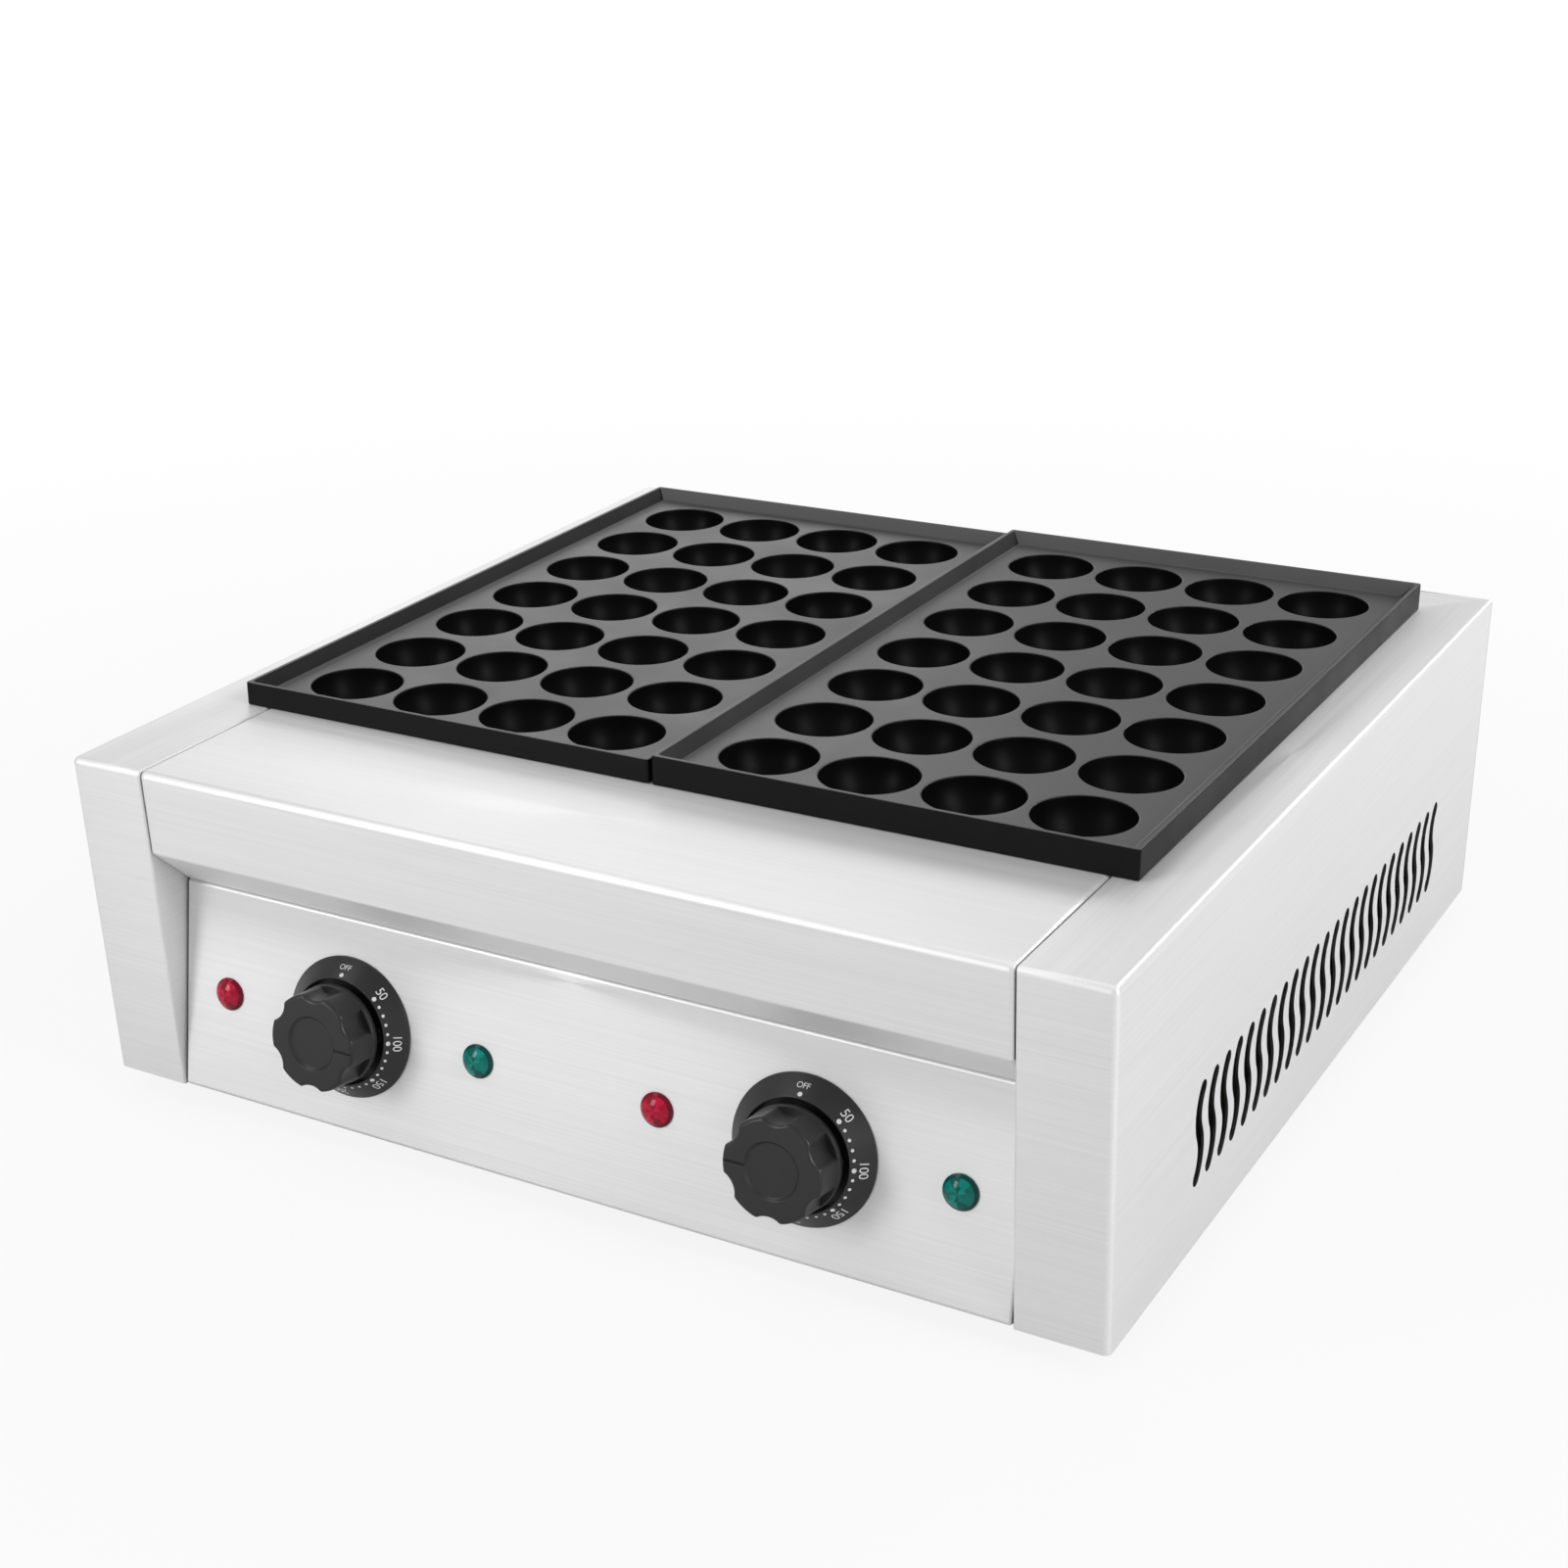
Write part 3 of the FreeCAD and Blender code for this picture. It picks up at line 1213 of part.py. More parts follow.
def thermostatScrews(label, side):
    body = newBody(label)
    section = Drawing(body, "section", "XZ_Plane", "0", "-fixing_spacing / 2")
    section.polygon([
        ("0", "-sheet_gauge - bracket_gauge"),
        ("small_shank", "-sheet_gauge - bracket_gauge"),
        ("small_shank", "bezel_thickness - small_head + small_shank"),
        ("small_head", "bezel_thickness"),
        ("0", "bezel_thickness"),
    ])
    screw = turn(body, section, "screw")
    row(body, [screw], "X_Axis", "fixing_spacing", "2", "screws")
    onPanel(body, signed(side, "knob_offset"))
    return body


def thermostat(label, side):
    # bracket against the back of the panel, housing behind it, two push-on terminals below
    body = newBody(label)
    block(
        body, "bracket",
        ("-bracket_width / 2", "-bracket_height / 2", "-sheet_gauge - bracket_gauge"),
        ("bracket_width", "bracket_height", "bracket_gauge"),
    )
    block(
        body, "housing",
        ("-thermostat_width / 2", "-thermostat_height / 2", "-thermostat_back"),
        ("thermostat_width", "thermostat_height", "thermostat_depth"),
    )
    blade = block(
        body, "blade",
        (
            "-thermostat_width / 4 - blade_width / 2",
            "-thermostat_height / 2 - blade_length",
            "-(thermostat_back + blade_gauge) / 2",
        ),
        ("blade_width", "blade_length + thermostat_height / 2", "blade_gauge"),
    )
    row(body, [blade], "X_Axis", "thermostat_width / 2", "2", "blades")
    place = ("0", "0", "-sheet_gauge - bracket_gauge - spindle_tail - spindle_end")
    long = "bracket_gauge + spindle_tail + spindle_end + cutting_room"
    hole(body, "bore", "XY_Plane", place, "spindle_radius + spindle_run", long)
    place = ("-fixing_spacing / 2", "0", "-sheet_gauge - bracket_gauge")
    bite = hole(body, "screw_hole", "XY_Plane", place, "small_shank", "bracket_gauge + cutting_room")
    row(body, [bite], "X_Axis", "fixing_spacing", "2", "screw_holes")
    onPanel(body, signed(side, "knob_offset"))
    return body


def lampLens(label, side, way):
    # domed lens with a flange on the panel and a stem inside the lamp body
    body = newBody(label)
    section = Drawing(body, "section", "XZ_Plane")
    dome = "(lamp_radius - lamp_edge / 2)"
    rise = "(lamp_dome - lamp_edge)"
    ball = f"(({dome} ^ 2 + {rise} ^ 2) / (2 * {rise}))"
    stem = "lamp_barrel - lamp_wall - lamp_play"
    section.line(("0", "-lamp_stem"), (stem, "-lamp_stem"))
    section.line((stem, "-lamp_stem"), (stem, "0"))
    section.line((stem, "0"), ("lamp_radius", "0"))
    section.line(("lamp_radius", "0"), ("lamp_radius", "lamp_edge / 2"))
    section.line(("lamp_radius", "lamp_edge / 2"), (dome, "lamp_edge"))
    section.arc(("0", f"lamp_dome - {ball}"), ball, (dome, "lamp_edge"), ("0", "lamp_dome"))
    section.line(("0", "lamp_dome"), ("0", "-lamp_stem"))
    turn(body, section, "lens")
    onPanel(body, f"{signed(side, 'knob_offset')} + {way} * lamp_offset")
    return body


def lampBody(label, side, way):
    # hollow barrel through the panel with a collar behind it and two push-on terminals
    body = newBody(label)
    section = Drawing(body, "section", "XZ_Plane")
    inner = "lamp_barrel - lamp_wall"
    section.polygon([
        ("0", "-lamp_length"),
        ("lamp_barrel", "-lamp_length"),
        ("lamp_barrel", "-sheet_gauge - 2 * lamp_wall"),
        ("lamp_collar", "-sheet_gauge - 2 * lamp_wall"),
        ("lamp_collar", "-sheet_gauge"),
        ("lamp_barrel", "-sheet_gauge"),
        ("lamp_barrel", "0"),
        (inner, "0"),
        (inner, "-lamp_stem - lamp_wall"),
        ("0", "-lamp_stem - lamp_wall"),
    ])
    turn(body, section, "barrel")
    blade = block(
        body, "blade",
        ("-(lamp_barrel + blade_gauge) / 2", "-blade_width / 2", "-lamp_length - blade_length"),
        ("blade_gauge", "blade_width", "blade_length + lamp_wall"),
    )
    row(body, [blade], "X_Axis", "lamp_barrel", "2", "blades")
    onPanel(body, f"{signed(side, 'knob_offset')} + {way} * lamp_offset")
    return body


# ---- feet, screws and the mains side ----


def standing(body, name, x, y, z, corners):
    # something turned about an upright axis at x, y, its section drawn from height z
    section = Drawing(body, name, "XZ_Plane", minus(y), x, z)
    section.polygon(corners)
    return turn(body, section, f"{name}_turned")


def foot(label, side, y):
    body = newBody(label)
    standing(body, "section", signed(side, "foot_x"), y, "0", [
        ("foot_screw_radius + screw_play", "foot_recess"),
        ("foot_head_radius + 2 * screw_play", "foot_recess"),
        ("foot_head_radius + 2 * screw_play", "0"),
        ("foot_radius - foot_taper", "0"),
        ("foot_radius", "foot_height"),
        ("foot_screw_radius + screw_play", "foot_height"),
    ])
    return body


def footScrews():
    body = newBody("foot_screws")
    end = "base_top_z + foot_nut_height + foot_screw_end - foot_recess"
    screw = standing(body, "section", minus("foot_x"), "foot_front_y", "foot_recess", [
        ("0", "-foot_head_height"),
        ("foot_head_radius", "-foot_head_height"),
        ("foot_head_radius", "0"),
        ("foot_screw_radius", "0"),
        ("foot_screw_radius", end),
        ("0", end),
    ])
    grid(body, screw, *FOOT_STEPS, "screws")
    return body


def footNuts():
    body = newBody("foot_nuts")
    prism = body.newObject("PartDesign::AdditivePrism", "nut")
    attach(prism, body, "XY_Plane", (minus("foot_x"), "foot_front_y", "base_top_z"))
    bind(prism, "Circumradius", "foot_nut_radius")
    bind(prism, "Height", "foot_nut_height")
    prism.Polygon = 6
    grid(body, prism, *FOOT_STEPS, "nuts")
    place = (minus("foot_x"), "foot_front_y", "base_top_z")
    thread = hole(body, "thread", "XY_Plane", place, "foot_screw_radius", "foot_nut_height")
    grid(body, thread, *FOOT_STEPS, "threads")
    return body


def baseScrews():
    # come up through the foot flanges into the base plate
    body = newBody("base_screws")
    screw = standing(body, "section", minus("base_screw_spacing"), "base_screw_front_y", "base_z", [
        ("0", "-panel_head_height"),
        ("panel_head_radius", "-panel_head_height"),
        ("panel_head_radius", "0"),
        ("panel_screw_radius", "0"),
        ("panel_screw_radius", "panel_screw_length"),
        ("0", "panel_screw_length"),
    ])
    grid(body, screw, *BASE_SCREW_STEPS, "screws")
    return body


def backScrews():
    # go through the back panel into the side panels' back flanges; the XZ plane faces the front
    body = newBody("back_panel_screws")
    place = (minus("back_screw_x"), "back_screw_z", minus("back_y"))
    shank = drum(body, "shank", "XZ_Plane", place, "panel_screw_radius", "panel_screw_length")
    grid(body, shank, *BACK_SCREW_STEPS, "shanks")
    place = (minus("back_screw_x"), "back_screw_z", minus("back_y + panel_head_height"))
    head = drum(body, "head", "XZ_Plane", place, "panel_head_radius", "panel_head_height")
    grid(body, head, *BACK_SCREW_STEPS, "heads")
    return body


def onGlandAxis(body, name, start, radius, length, removed=False):
    # a drum on the gland's axis that runs forward from start; the XZ plane faces the front
    place = ("gland_offset", "gland_z", minus(start))
    return drum(body, name, "XZ_Plane", place, radius, length, removed)


def cordGland():
    body = newBody("cord_gland")
    onGlandAxis(body, "collar", "back_y + gland_collar_depth", "gland_collar", "gland_collar_depth")
    onGlandAxis(body, "cap", "back_y + gland_stand", "gland_dome", "gland_stand - gland_collar_depth")
    onGlandAxis(body, "barrel", "back_y", "gland_barrel", "sheet_gauge + gland_inside")
    long = "gland_stand + sheet_gauge + gland_inside"
    onGlandAxis(body, "bore", "back_y + gland_stand", "gland_bore", long, removed=True)
    return body


def glandNut():
    body = newBody("gland_nut")
    onGlandAxis(body, "nut", "back_y - sheet_gauge", "gland_collar", "gland_nut_depth")
    onGlandAxis(body, "thread", "back_y - sheet_gauge", "gland_barrel", "gland_nut_depth", removed=True)
    return body


def terminalBlock():
    # one moulding with a row of screw wells on top
    body = newBody("terminal_block")
    block(
        body, "moulding",
        ("gland_offset - block_length / 2", "block_y - block_width / 2", "base_top_z"),
        ("block_length", "block_width", "block_height"),
    )
    pitch = "block_length / block_ways"
    place = (f"gland_offset - block_length / 2 + {pitch} / 2", "block_y", "base_top_z + block_height / 2")
    well = hole(body, "well", "XY_Plane", place, "block_well", "block_height")
    row(body, [well], "X_Axis", f"{pitch} * (block_ways - 1)", "block_ways", "wells")
    return body


def earthStud():
    # bolt through the base plate with a head below it and a nut on top
    body = newBody("earth_stud")
    standing(body, "section", "gland_offset", "stud_y", "base_top_z", [
        ("0", "-sheet_gauge - panel_head_height"),
        ("stud_head", "-sheet_gauge - panel_head_height"),
        ("stud_head", "-sheet_gauge"),
        ("stud_radius", "-sheet_gauge"),
        ("stud_radius", "0"),
        ("stud_head", "0"),
        ("stud_head", "panel_head_height"),
        ("stud_radius", "panel_head_height"),
        ("stud_radius", "stud_height"),
        ("0", "stud_height"),
    ])
    return body


# ---- the whole machine ----

nodes = [frontHood(), controlPanel(), backPanel(), basePlate(), heaterChamber(), centreDivider()]
for name, side in SIDES:
    nodes += [
        sidePanel(f"{name}_side_panel", side),
        insulationMat(f"{name}_insulation_mat", side),
        reflectorPan(f"{name}_reflector_pan", side),
        heaterElement(f"{name}_heater_element", side),
        heaterRests(f"{name}_heater_rests", side),
        heaterBushes(f"{name}_heater_bushes", side),
        sensorBulb(f"{name}_sensor_bulb", side),
        grillPlate(f"{name}_grill_plate", side, f"{name}_rim_height"),
        knob(f"{name}_knob", side),
        spindle(f"{name}_spindle", side),
        dialBezel(f"{name}_dial_bezel", side),
        thermostat(f"{name}_thermostat", side),
        thermostatScrews(f"{name}_thermostat_screws", side),
        foot(f"{name}_front_foot", side, "foot_front_y"),
        foot(f"{name}_back_foot", side, "foot_back_y"),
    ]
    for colour, way in LAMPS:
        nodes.append(lampLens(f"{name}_{colour}_lamp_lens", side, way))
        nodes.append(lampBody(f"{name}_{colour}_lamp_body", side, way))
nodes += [footScrews(), footNuts(), baseScrews(), backScrews()]
nodes += [cordGland(), glandNut(), terminalBlock(), earthStud()]

doc.recompute()
for item in doc.Objects:
    if "Invalid" in item.State or "Error" in item.State:
        raise RuntimeError(f"{item.Name} ({item.Label}) failed: {item.State}")
for node in nodes:
    shape = node.Shape
    if shape.isNull() or not shape.isValid() or not shape.Solids:
        raise RuntimeError(f"{node.Label} has no valid solid")

os.makedirs("parts", exist_ok=True)
for node in nodes:
    node.Shape.exportStep(os.path.join("parts", f"{node.Label}.step"))
    print(node.Label, len(node.Shape.Solids), round(node.Shape.Volume))
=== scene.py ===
import math

import bmesh
import bpy
from mathutils import Matrix, Vector


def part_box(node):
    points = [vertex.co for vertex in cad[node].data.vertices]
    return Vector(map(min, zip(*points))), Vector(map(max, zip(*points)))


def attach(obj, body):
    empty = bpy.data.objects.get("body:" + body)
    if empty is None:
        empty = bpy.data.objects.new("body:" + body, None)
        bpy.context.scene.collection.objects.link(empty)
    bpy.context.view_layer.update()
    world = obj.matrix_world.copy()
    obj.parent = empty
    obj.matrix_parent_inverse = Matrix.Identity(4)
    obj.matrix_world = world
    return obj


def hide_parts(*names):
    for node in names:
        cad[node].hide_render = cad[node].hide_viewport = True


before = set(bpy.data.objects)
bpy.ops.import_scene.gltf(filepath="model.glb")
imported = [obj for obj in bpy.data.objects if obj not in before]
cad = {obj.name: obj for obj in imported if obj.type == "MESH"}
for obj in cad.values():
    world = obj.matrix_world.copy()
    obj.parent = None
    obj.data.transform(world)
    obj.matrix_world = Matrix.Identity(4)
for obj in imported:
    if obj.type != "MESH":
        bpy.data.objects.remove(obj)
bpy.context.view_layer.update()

mm = 0.001


def box(node):
    low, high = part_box(node)
    return low / mm, high / mm


# Heights and edges that several pieces share, read off the frame, in millimetres.
sideLow, sideHigh = box("right_side_panel")
hoodLow, hoodHigh = box("front_hood")
panelLow, panelHigh = box("control_panel")
wallLow, wallHigh = box("back_panel")
lean = math.radians(8.4)  # how far the control panel leans back
sheet = {
    "gauge": 1.2,
    "bend": 3.0,
    "top": sideHigh.z,
    "floor": sideLow.z,
    "front": sideLow.y,
    "panelFoot": panelLow.y,
    "outer": sideHigh.x,
    "inner": sideLow.x,
    "sideBack": sideHigh.y,
    "back": wallHigh.y,
}
sheet["rake"] = (sheet["panelFoot"] - sheet["front"]) / (sheet["top"] - sheet["floor"])


def panelY(z):
    # y of the leaning control panel's face at a height
    return sheet["panelFoot"] + (z - sheet["floor"]) * math.tan(lean)


def addNode(tree, kind, sockets=None, **settings):
    # a socket's value may be a plain value, another node's socket, or a node for its first output
    node = tree.nodes.new(kind)
    for key, value in settings.items():
        setattr(node, key, value)
    for key, value in (sockets or {}).items():
        if isinstance(value, bpy.types.Node):
            value = value.outputs[0]
        if isinstance(value, bpy.types.NodeSocket):
            tree.links.new(value, node.inputs[key])
        else:
            node.inputs[key].default_value = value
    return node


def compute(tree, operation, *values):
    # a Math node on values or sockets, in their order
    return addNode(tree, "ShaderNodeMath", dict(enumerate(values)), operation=operation).outputs[0]


def newMaterial(name, values=None):
    material = bpy.data.materials.new(name)
    material.use_nodes = True
    tree = material.node_tree
    tree.nodes.clear()
    shader = addNode(tree, "ShaderNodeBsdfPrincipled", values)
    addNode(tree, "ShaderNodeOutputMaterial", {"Surface": shader})
    return material, tree, shader


def feed(shader, colour, roughness=None, normal=None):
    # links what varies over the surface
    for name, value in (("Base Color", colour), ("Roughness", roughness), ("Normal", normal)):
        if value is not None:
            shader.id_data.links.new(value, shader.inputs[name])


def objectNoise(tree, scale, stretch=(1, 1, 1), detail=4.0, seed=(0, 0, 0)):
    where = addNode(tree, "ShaderNodeTexCoord").outputs["Object"]
    moved = addNode(tree, "ShaderNodeMapping", {
        "Vector": where, "Location": seed, "Scale": stretch,
    })
    return addNode(tree, "ShaderNodeTexNoise", {
        "Vector": moved, "Scale": scale, "Detail": detail, "Roughness": 0.55,
    }).outputs["Fac"]


def spread(tree, value, low, high, start=0.3, end=0.7):
    return addNode(tree, "ShaderNodeMapRange", {
        "Value": value, "From Min": start, "From Max": end, "To Min": low, "To Max": high,
    }).outputs["Result"]


def twoTone(tree, factor, first, second):
    node = addNode(tree, "ShaderNodeMix", {}, data_type="RGBA")
    for socket, value in zip([s for s in node.inputs if s.type == "RGBA"], (first, second)):
        if isinstance(value, bpy.types.NodeSocket):
            tree.links.new(value, socket)
        else:
            socket.default_value = (*value, 1)
    tree.links.new(factor, node.inputs["Factor"])
    return [s for s in node.outputs if s.type == "RGBA"][0]


def bumpFrom(tree, height, strength, distance):
    return addNode(tree, "ShaderNodeBump", {
        "Height": height, "Strength": strength, "Distance": distance,
    }).outputs["Normal"]


def brushedSteel(name, along, tone, seed):
    # fine scratches along one axis, over a slow unevenness of the sheet
    look = {"across": 1300, "along": 8, "roughness": (0.4, 0.5), "uneven": 0.03, "tint": 0.065,
            "streak": 0.6, "streakTurn": 0.25, "metal": 0.45, "depth": 0.00005}
    stretch = tuple(look["along"] if axis == along else look["across"] for axis in "xyz")
    material, tree, shader = newMaterial(name, {
        "Metallic": look["metal"], "Anisotropic": look["streak"],
        "Anisotropic Rotation": look["streakTurn"],
    })
    scratches = objectNoise(tree, 1.0, stretch, 3.0, seed)
    cloud = objectNoise(tree, 7.0, detail=2.0, seed=seed)
    dark = tuple(part * (1 - look["tint"]) for part in tone)
    fine = spread(tree, scratches, *look["roughness"])
    slow = spread(tree, cloud, -look["uneven"], look["uneven"])
    feed(shader, twoTone(tree, spread(tree, scratches, 0, 1), dark, tone),
         compute(tree, "ADD", fine, slow), bumpFrom(tree, scratches, 0.03, look["depth"]))
    return material


def linerSteel():
    # duller sheet inside the body, a little straw-coloured, and darkened as painted shade so the
    # inside seen through the vents reads dark
    material, tree, shader = newMaterial("linerSteel", {"Metallic": 1.0})
    grain = objectNoise(tree, 260.0, (1, 0.15, 1), 3.0)
    cloud = objectNoise(tree, 18.0, detail=3.0)
    feed(shader, twoTone(tree, spread(tree, cloud, 0, 1), (0.13, 0.13, 0.13), (0.2, 0.19, 0.17)),
         spread(tree, grain, 0.36, 0.52), bumpFrom(tree, grain, 0.1, 0.0002))
    return material


def plateCoating(name, cupShadeTone, webTone, shine, roughness):
    # dark release coating on cast aluminium, finely grained; painted shade makes it darker where
    # attribute web is low, in the cups and on the walls
    material, tree, shader = newMaterial(name, {"Specular IOR Level": shine})
    web = addNode(tree, "ShaderNodeAttribute", attribute_name="web").outputs["Fac"]
    grain = objectNoise(tree, 1500.0, detail=2.0)
    cloud = objectNoise(tree, 22.0, detail=4.0)
    mottled = addNode(tree, "ShaderNodeVectorMath", {
        0: twoTone(tree, web, (cupShadeTone,) * 3, (webTone,) * 3),
        "Scale": spread(tree, cloud, 0.88, 1.1),
    }, operation="SCALE")
    feed(shader, mottled.outputs["Vector"], spread(tree, cloud, roughness - 0.05, roughness + 0.05),
         bumpFrom(tree, grain, 0.12, 0.0001))
    return material


def mouldedPlastic(name, tone, roughness, grainSize, lift=1.35):
    material, tree, shader = newMaterial(name)
    grain = objectNoise(tree, grainSize, detail=2.0)
    cloud = objectNoise(tree, 60.0, detail=3.0)
    bright = tuple(part * lift for part in tone)
    feed(shader, twoTone(tree, spread(tree, cloud, 0, 1), tone, bright),
         spread(tree, grain, roughness - 0.04, roughness + 0.05), bumpFrom(tree, grain, 0.08, 0.0001))
    return material


def jewel(name, dark, bright):
    # moulded lens under a smooth clear outside: each wedge gets its own painted light tone, standing
    # in for light caught by facets inside, and the rim a painted shade
    material, tree, shader = newMaterial(name, {
        "Roughness": 0.2, "Specular IOR Level": 0.1, "Coat Weight": 0.3, "Coat Roughness": 0.05,
    })
    facet = addNode(tree, "ShaderNodeAttribute", attribute_name="facet").outputs["Fac"]
    cloud = objectNoise(tree, 500.0, detail=2.0)
    mixed = compute(tree, "MULTIPLY", facet, spread(tree, cloud, 0.8, 1.15))
    feed(shader, twoTone(tree, mixed, dark, bright))
    return material


def printedInk():
    material, tree, shader = newMaterial("printedInk", {"Roughness": 0.5})
    cloud = objectNoise(tree, 900.0, detail=3.0)
    feed(shader, twoTone(tree, spread(tree, cloud, 0, 1), (0.62, 0.62, 0.62), (0.82, 0.82, 0.82)))
    return material


def platedMetal(name, tone, roughness):
    # zinc, copper and brass: slightly blotched, lightly pitted
    material, tree, shader = newMaterial(name, {"Metallic": 1.0})
    cloud = objectNoise(tree, 140.0, detail=4.0)
    pits = objectNoise(tree, 1800.0, detail=2.0)
    dull = tuple(part * 0.78 for part in tone)
    feed(shader, twoTone(tree, spread(tree, cloud, 0, 1), dull, tone),
         spread(tree, cloud, roughness, roughness + 0.14), bumpFrom(tree, pits, 0.08, 0.00005))
    return material


def mineral(name, tone, shade, fibre, strength):
    # ceramic and insulation: matt, with a grain or fibres
    material, tree, shader = newMaterial(name, {"Roughness": 0.85})
    grain = objectNoise(tree, fibre, (1, 0.35, 1), 6.0)
    feed(shader, twoTone(tree, spread(tree, grain, 0, 1), shade, tone),
         normal=bumpFrom(tree, grain, strength, 0.0004))
    return material


looks = {
    "steelX": brushedSteel("brushedSteelAcross", "x", (0.84, 0.84, 0.845), (0, 0, 0)),
    "steelY": brushedSteel("brushedSteelLengthways", "y", (0.84, 0.84, 0.845), (3, 1, 2)),
    "shadedLiner": linerSteel(),
    # the plate's coating in a lit copy and a shaded copy: painted light on the web, rim tops and back
    # wall, painted shade in the cups and on the other walls
    "web": plateCoating("webCoating", 0.03, 0.05, 0.5, 0.42),
    "cast": plateCoating("castCoating", 0.0025, 0.012, 0.06, 0.4),
    "knob": mouldedPlastic("knobPlastic", (0.009, 0.009, 0.0095), 0.38, 2600.0),
    "bezel": mouldedPlastic("bezelPaint", (0.01, 0.01, 0.0105), 0.36, 3400.0),
    "ink": printedInk(),
    "red": jewel("redLens", (0.12, 0.001, 0.01), (0.62, 0.008, 0.045)),
    "green": jewel("greenLens", (0.0, 0.025, 0.028), (0.0, 0.26, 0.21)),
    "lampBody": mouldedPlastic("lampPlastic", (0.03, 0.03, 0.03), 0.5, 1800.0),
    "switch": mouldedPlastic("switchPlastic", (0.05, 0.045, 0.04), 0.45, 1500.0),
    "rubber": mouldedPlastic("footRubber", (0.018, 0.018, 0.018), 0.7, 900.0),
    "gland": mouldedPlastic("glandPlastic", (0.014, 0.014, 0.014), 0.5, 1400.0),
    "zinc": platedMetal("zincSteel", (0.62, 0.63, 0.64), 0.28),
    "copper": platedMetal("copper", (0.75, 0.35, 0.2), 0.3),
    "brass": platedMetal("brass", (0.78, 0.6, 0.28), 0.3),
    "sheath": platedMetal("heaterSheath", (0.16, 0.15, 0.14), 0.48),
    "ceramic": mineral("ceramic", (0.72, 0.69, 0.62), (0.58, 0.55, 0.5), 320.0, 0.15),
    "insulation": mineral("insulation", (0.78, 0.77, 0.72), (0.52, 0.5, 0.46), 420.0, 0.7),
}
print("materials made:", len(looks))


def paint(piece, *names):
    piece.data.materials.clear()
    for name in names:
        piece.data.materials.append(looks[name])


def swung(arm, angle):
    # a flat vector turned by an angle
    cosine, sine = math.cos(angle), math.sin(angle)
    return Vector((arm.x * cosine - arm.y * sine, arm.x * sine + arm.y * cosine))


def rounded(corners, radii, steps=6):
    # a polyline with arcs in place of its inner corners
    points = []
    last = len(corners) - 1
    for index, corner in enumerate(corners):
        here = Vector(corner)
        if index in (0, last) or radii[index] == 0:
            points.append(here)
            continue
        back = (Vector(corners[index - 1]) - here).normalized()
        onward = (Vector(corners[index + 1]) - here).normalized()
        half = back.angle(onward) / 2
        centre = here + (back + onward).normalized() * radii[index] / math.sin(half)
        first = here + back * radii[index] / math.tan(half) - centre
        final = here + onward * radii[index] / math.tan(half) - centre
        turn = math.atan2(first.x * final.y - first.y * final.x, first.dot(final))
        points += [centre + swung(first, turn * step / steps) for step in range(steps + 1)]
    return points


def newPiece(name, mesh):
    piece = bpy.data.objects.new(name, mesh)
    bpy.context.scene.collection.objects.link(piece)
    return piece


def pieceFrom(name, made, outward=True):
    # outward turns all faces of a closed shape outwards; otherwise they stay as they are
    if outward:
        bmesh.ops.recalc_face_normals(made, faces=made.faces)
    mesh = bpy.data.meshes.new(name)
    made.to_mesh(mesh)
    made.free()
    return newPiece(name, mesh)


def settle(piece):
    # the evaluated mesh becomes the piece's own, and the modifiers go
    graph = bpy.context.evaluated_depsgraph_get()
    mesh = bpy.data.meshes.new_from_object(piece.evaluated_get(graph))
    piece.modifiers.clear()
    former = piece.data
    piece.data = mesh
    bpy.data.meshes.remove(former)
    mesh.name = piece.name


def shade(piece, degrees=30):
    # smooth across bends, sharp at edges, and flat faces stay flat
    mesh = piece.data
    mesh.polygons.foreach_set("use_smooth", [True] * len(mesh.polygons))
    mesh.set_sharp_from_angle(angle=math.radians(degrees))
    weigh = piece.modifiers.new("weights", "WEIGHTED_NORMAL")
    weigh.keep_sharp = True
    settle(piece)


def done(piece, body, slotName, *nodes):
    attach(piece, body)
    if nodes:
        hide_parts(*nodes)
    return piece


def ringsMesh(made, rings):
    # quads between rings of as many points each; a ring of one point is a pole
    layers = [[made.verts.new(point) for point in ring] for ring in rings]
    for lower, upper in zip(layers, layers[1:]):
        count = max(len(lower), len(upper))
        for index in range(count):
            after = (index + 1) % count
            if len(lower) == 1:
                made.faces.new((lower[0], upper[after], upper[index]))
            elif len(upper) == 1:
                made.faces.new((lower[index], lower[after], upper[0]))
            else:
                made.faces.new((lower[index], lower[after], upper[after], upper[index]))
    return layers


def turned(name, profile, segments=64, reach=None):
    # turns (radius, height) points about Z; reach may change a radius by angle and height;
    # a profile that ends where it starts makes a closed ring
    made = bmesh.new()
    rings = []
    for radius, height in profile:
        if radius < 1e-4:
            rings.append([(0, 0, height * mm)])
            continue
        ring = []
        for index in range(segments):
            angle = math.tau * index / segments
            out = (reach(radius, angle, height) if reach else radius) * mm
            ring.append((out * math.cos(angle), out * math.sin(angle), height * mm))
        rings.append(ring)
    ringsMesh(made, rings)
    if tuple(profile[0]) == tuple(profile[-1]):
        bmesh.ops.remove_doubles(made, verts=made.verts, dist=1e-7)
    return pieceFrom(name, made)


def cappedFrom(name, rings):
    # a solid through rings of points, closed flat at both ends
    made = bmesh.new()
    layers = ringsMesh(made, rings)
    made.faces.new(layers[0])
    made.faces.new(layers[-1])
    return pieceFrom(name, made)


def addBlock(made, size, centre, turn=0.0):
    block = bmesh.ops.create_cube(made, size=1.0)["verts"]
    bmesh.ops.scale(made, verts=block, vec=Vector(size) * mm)
    bmesh.ops.translate(made, verts=block, vec=Vector(centre) * mm)
    bmesh.ops.rotate(made, verts=block, cent=(0, 0, 0), matrix=Matrix.Rotation(turn, 3, "Z"))


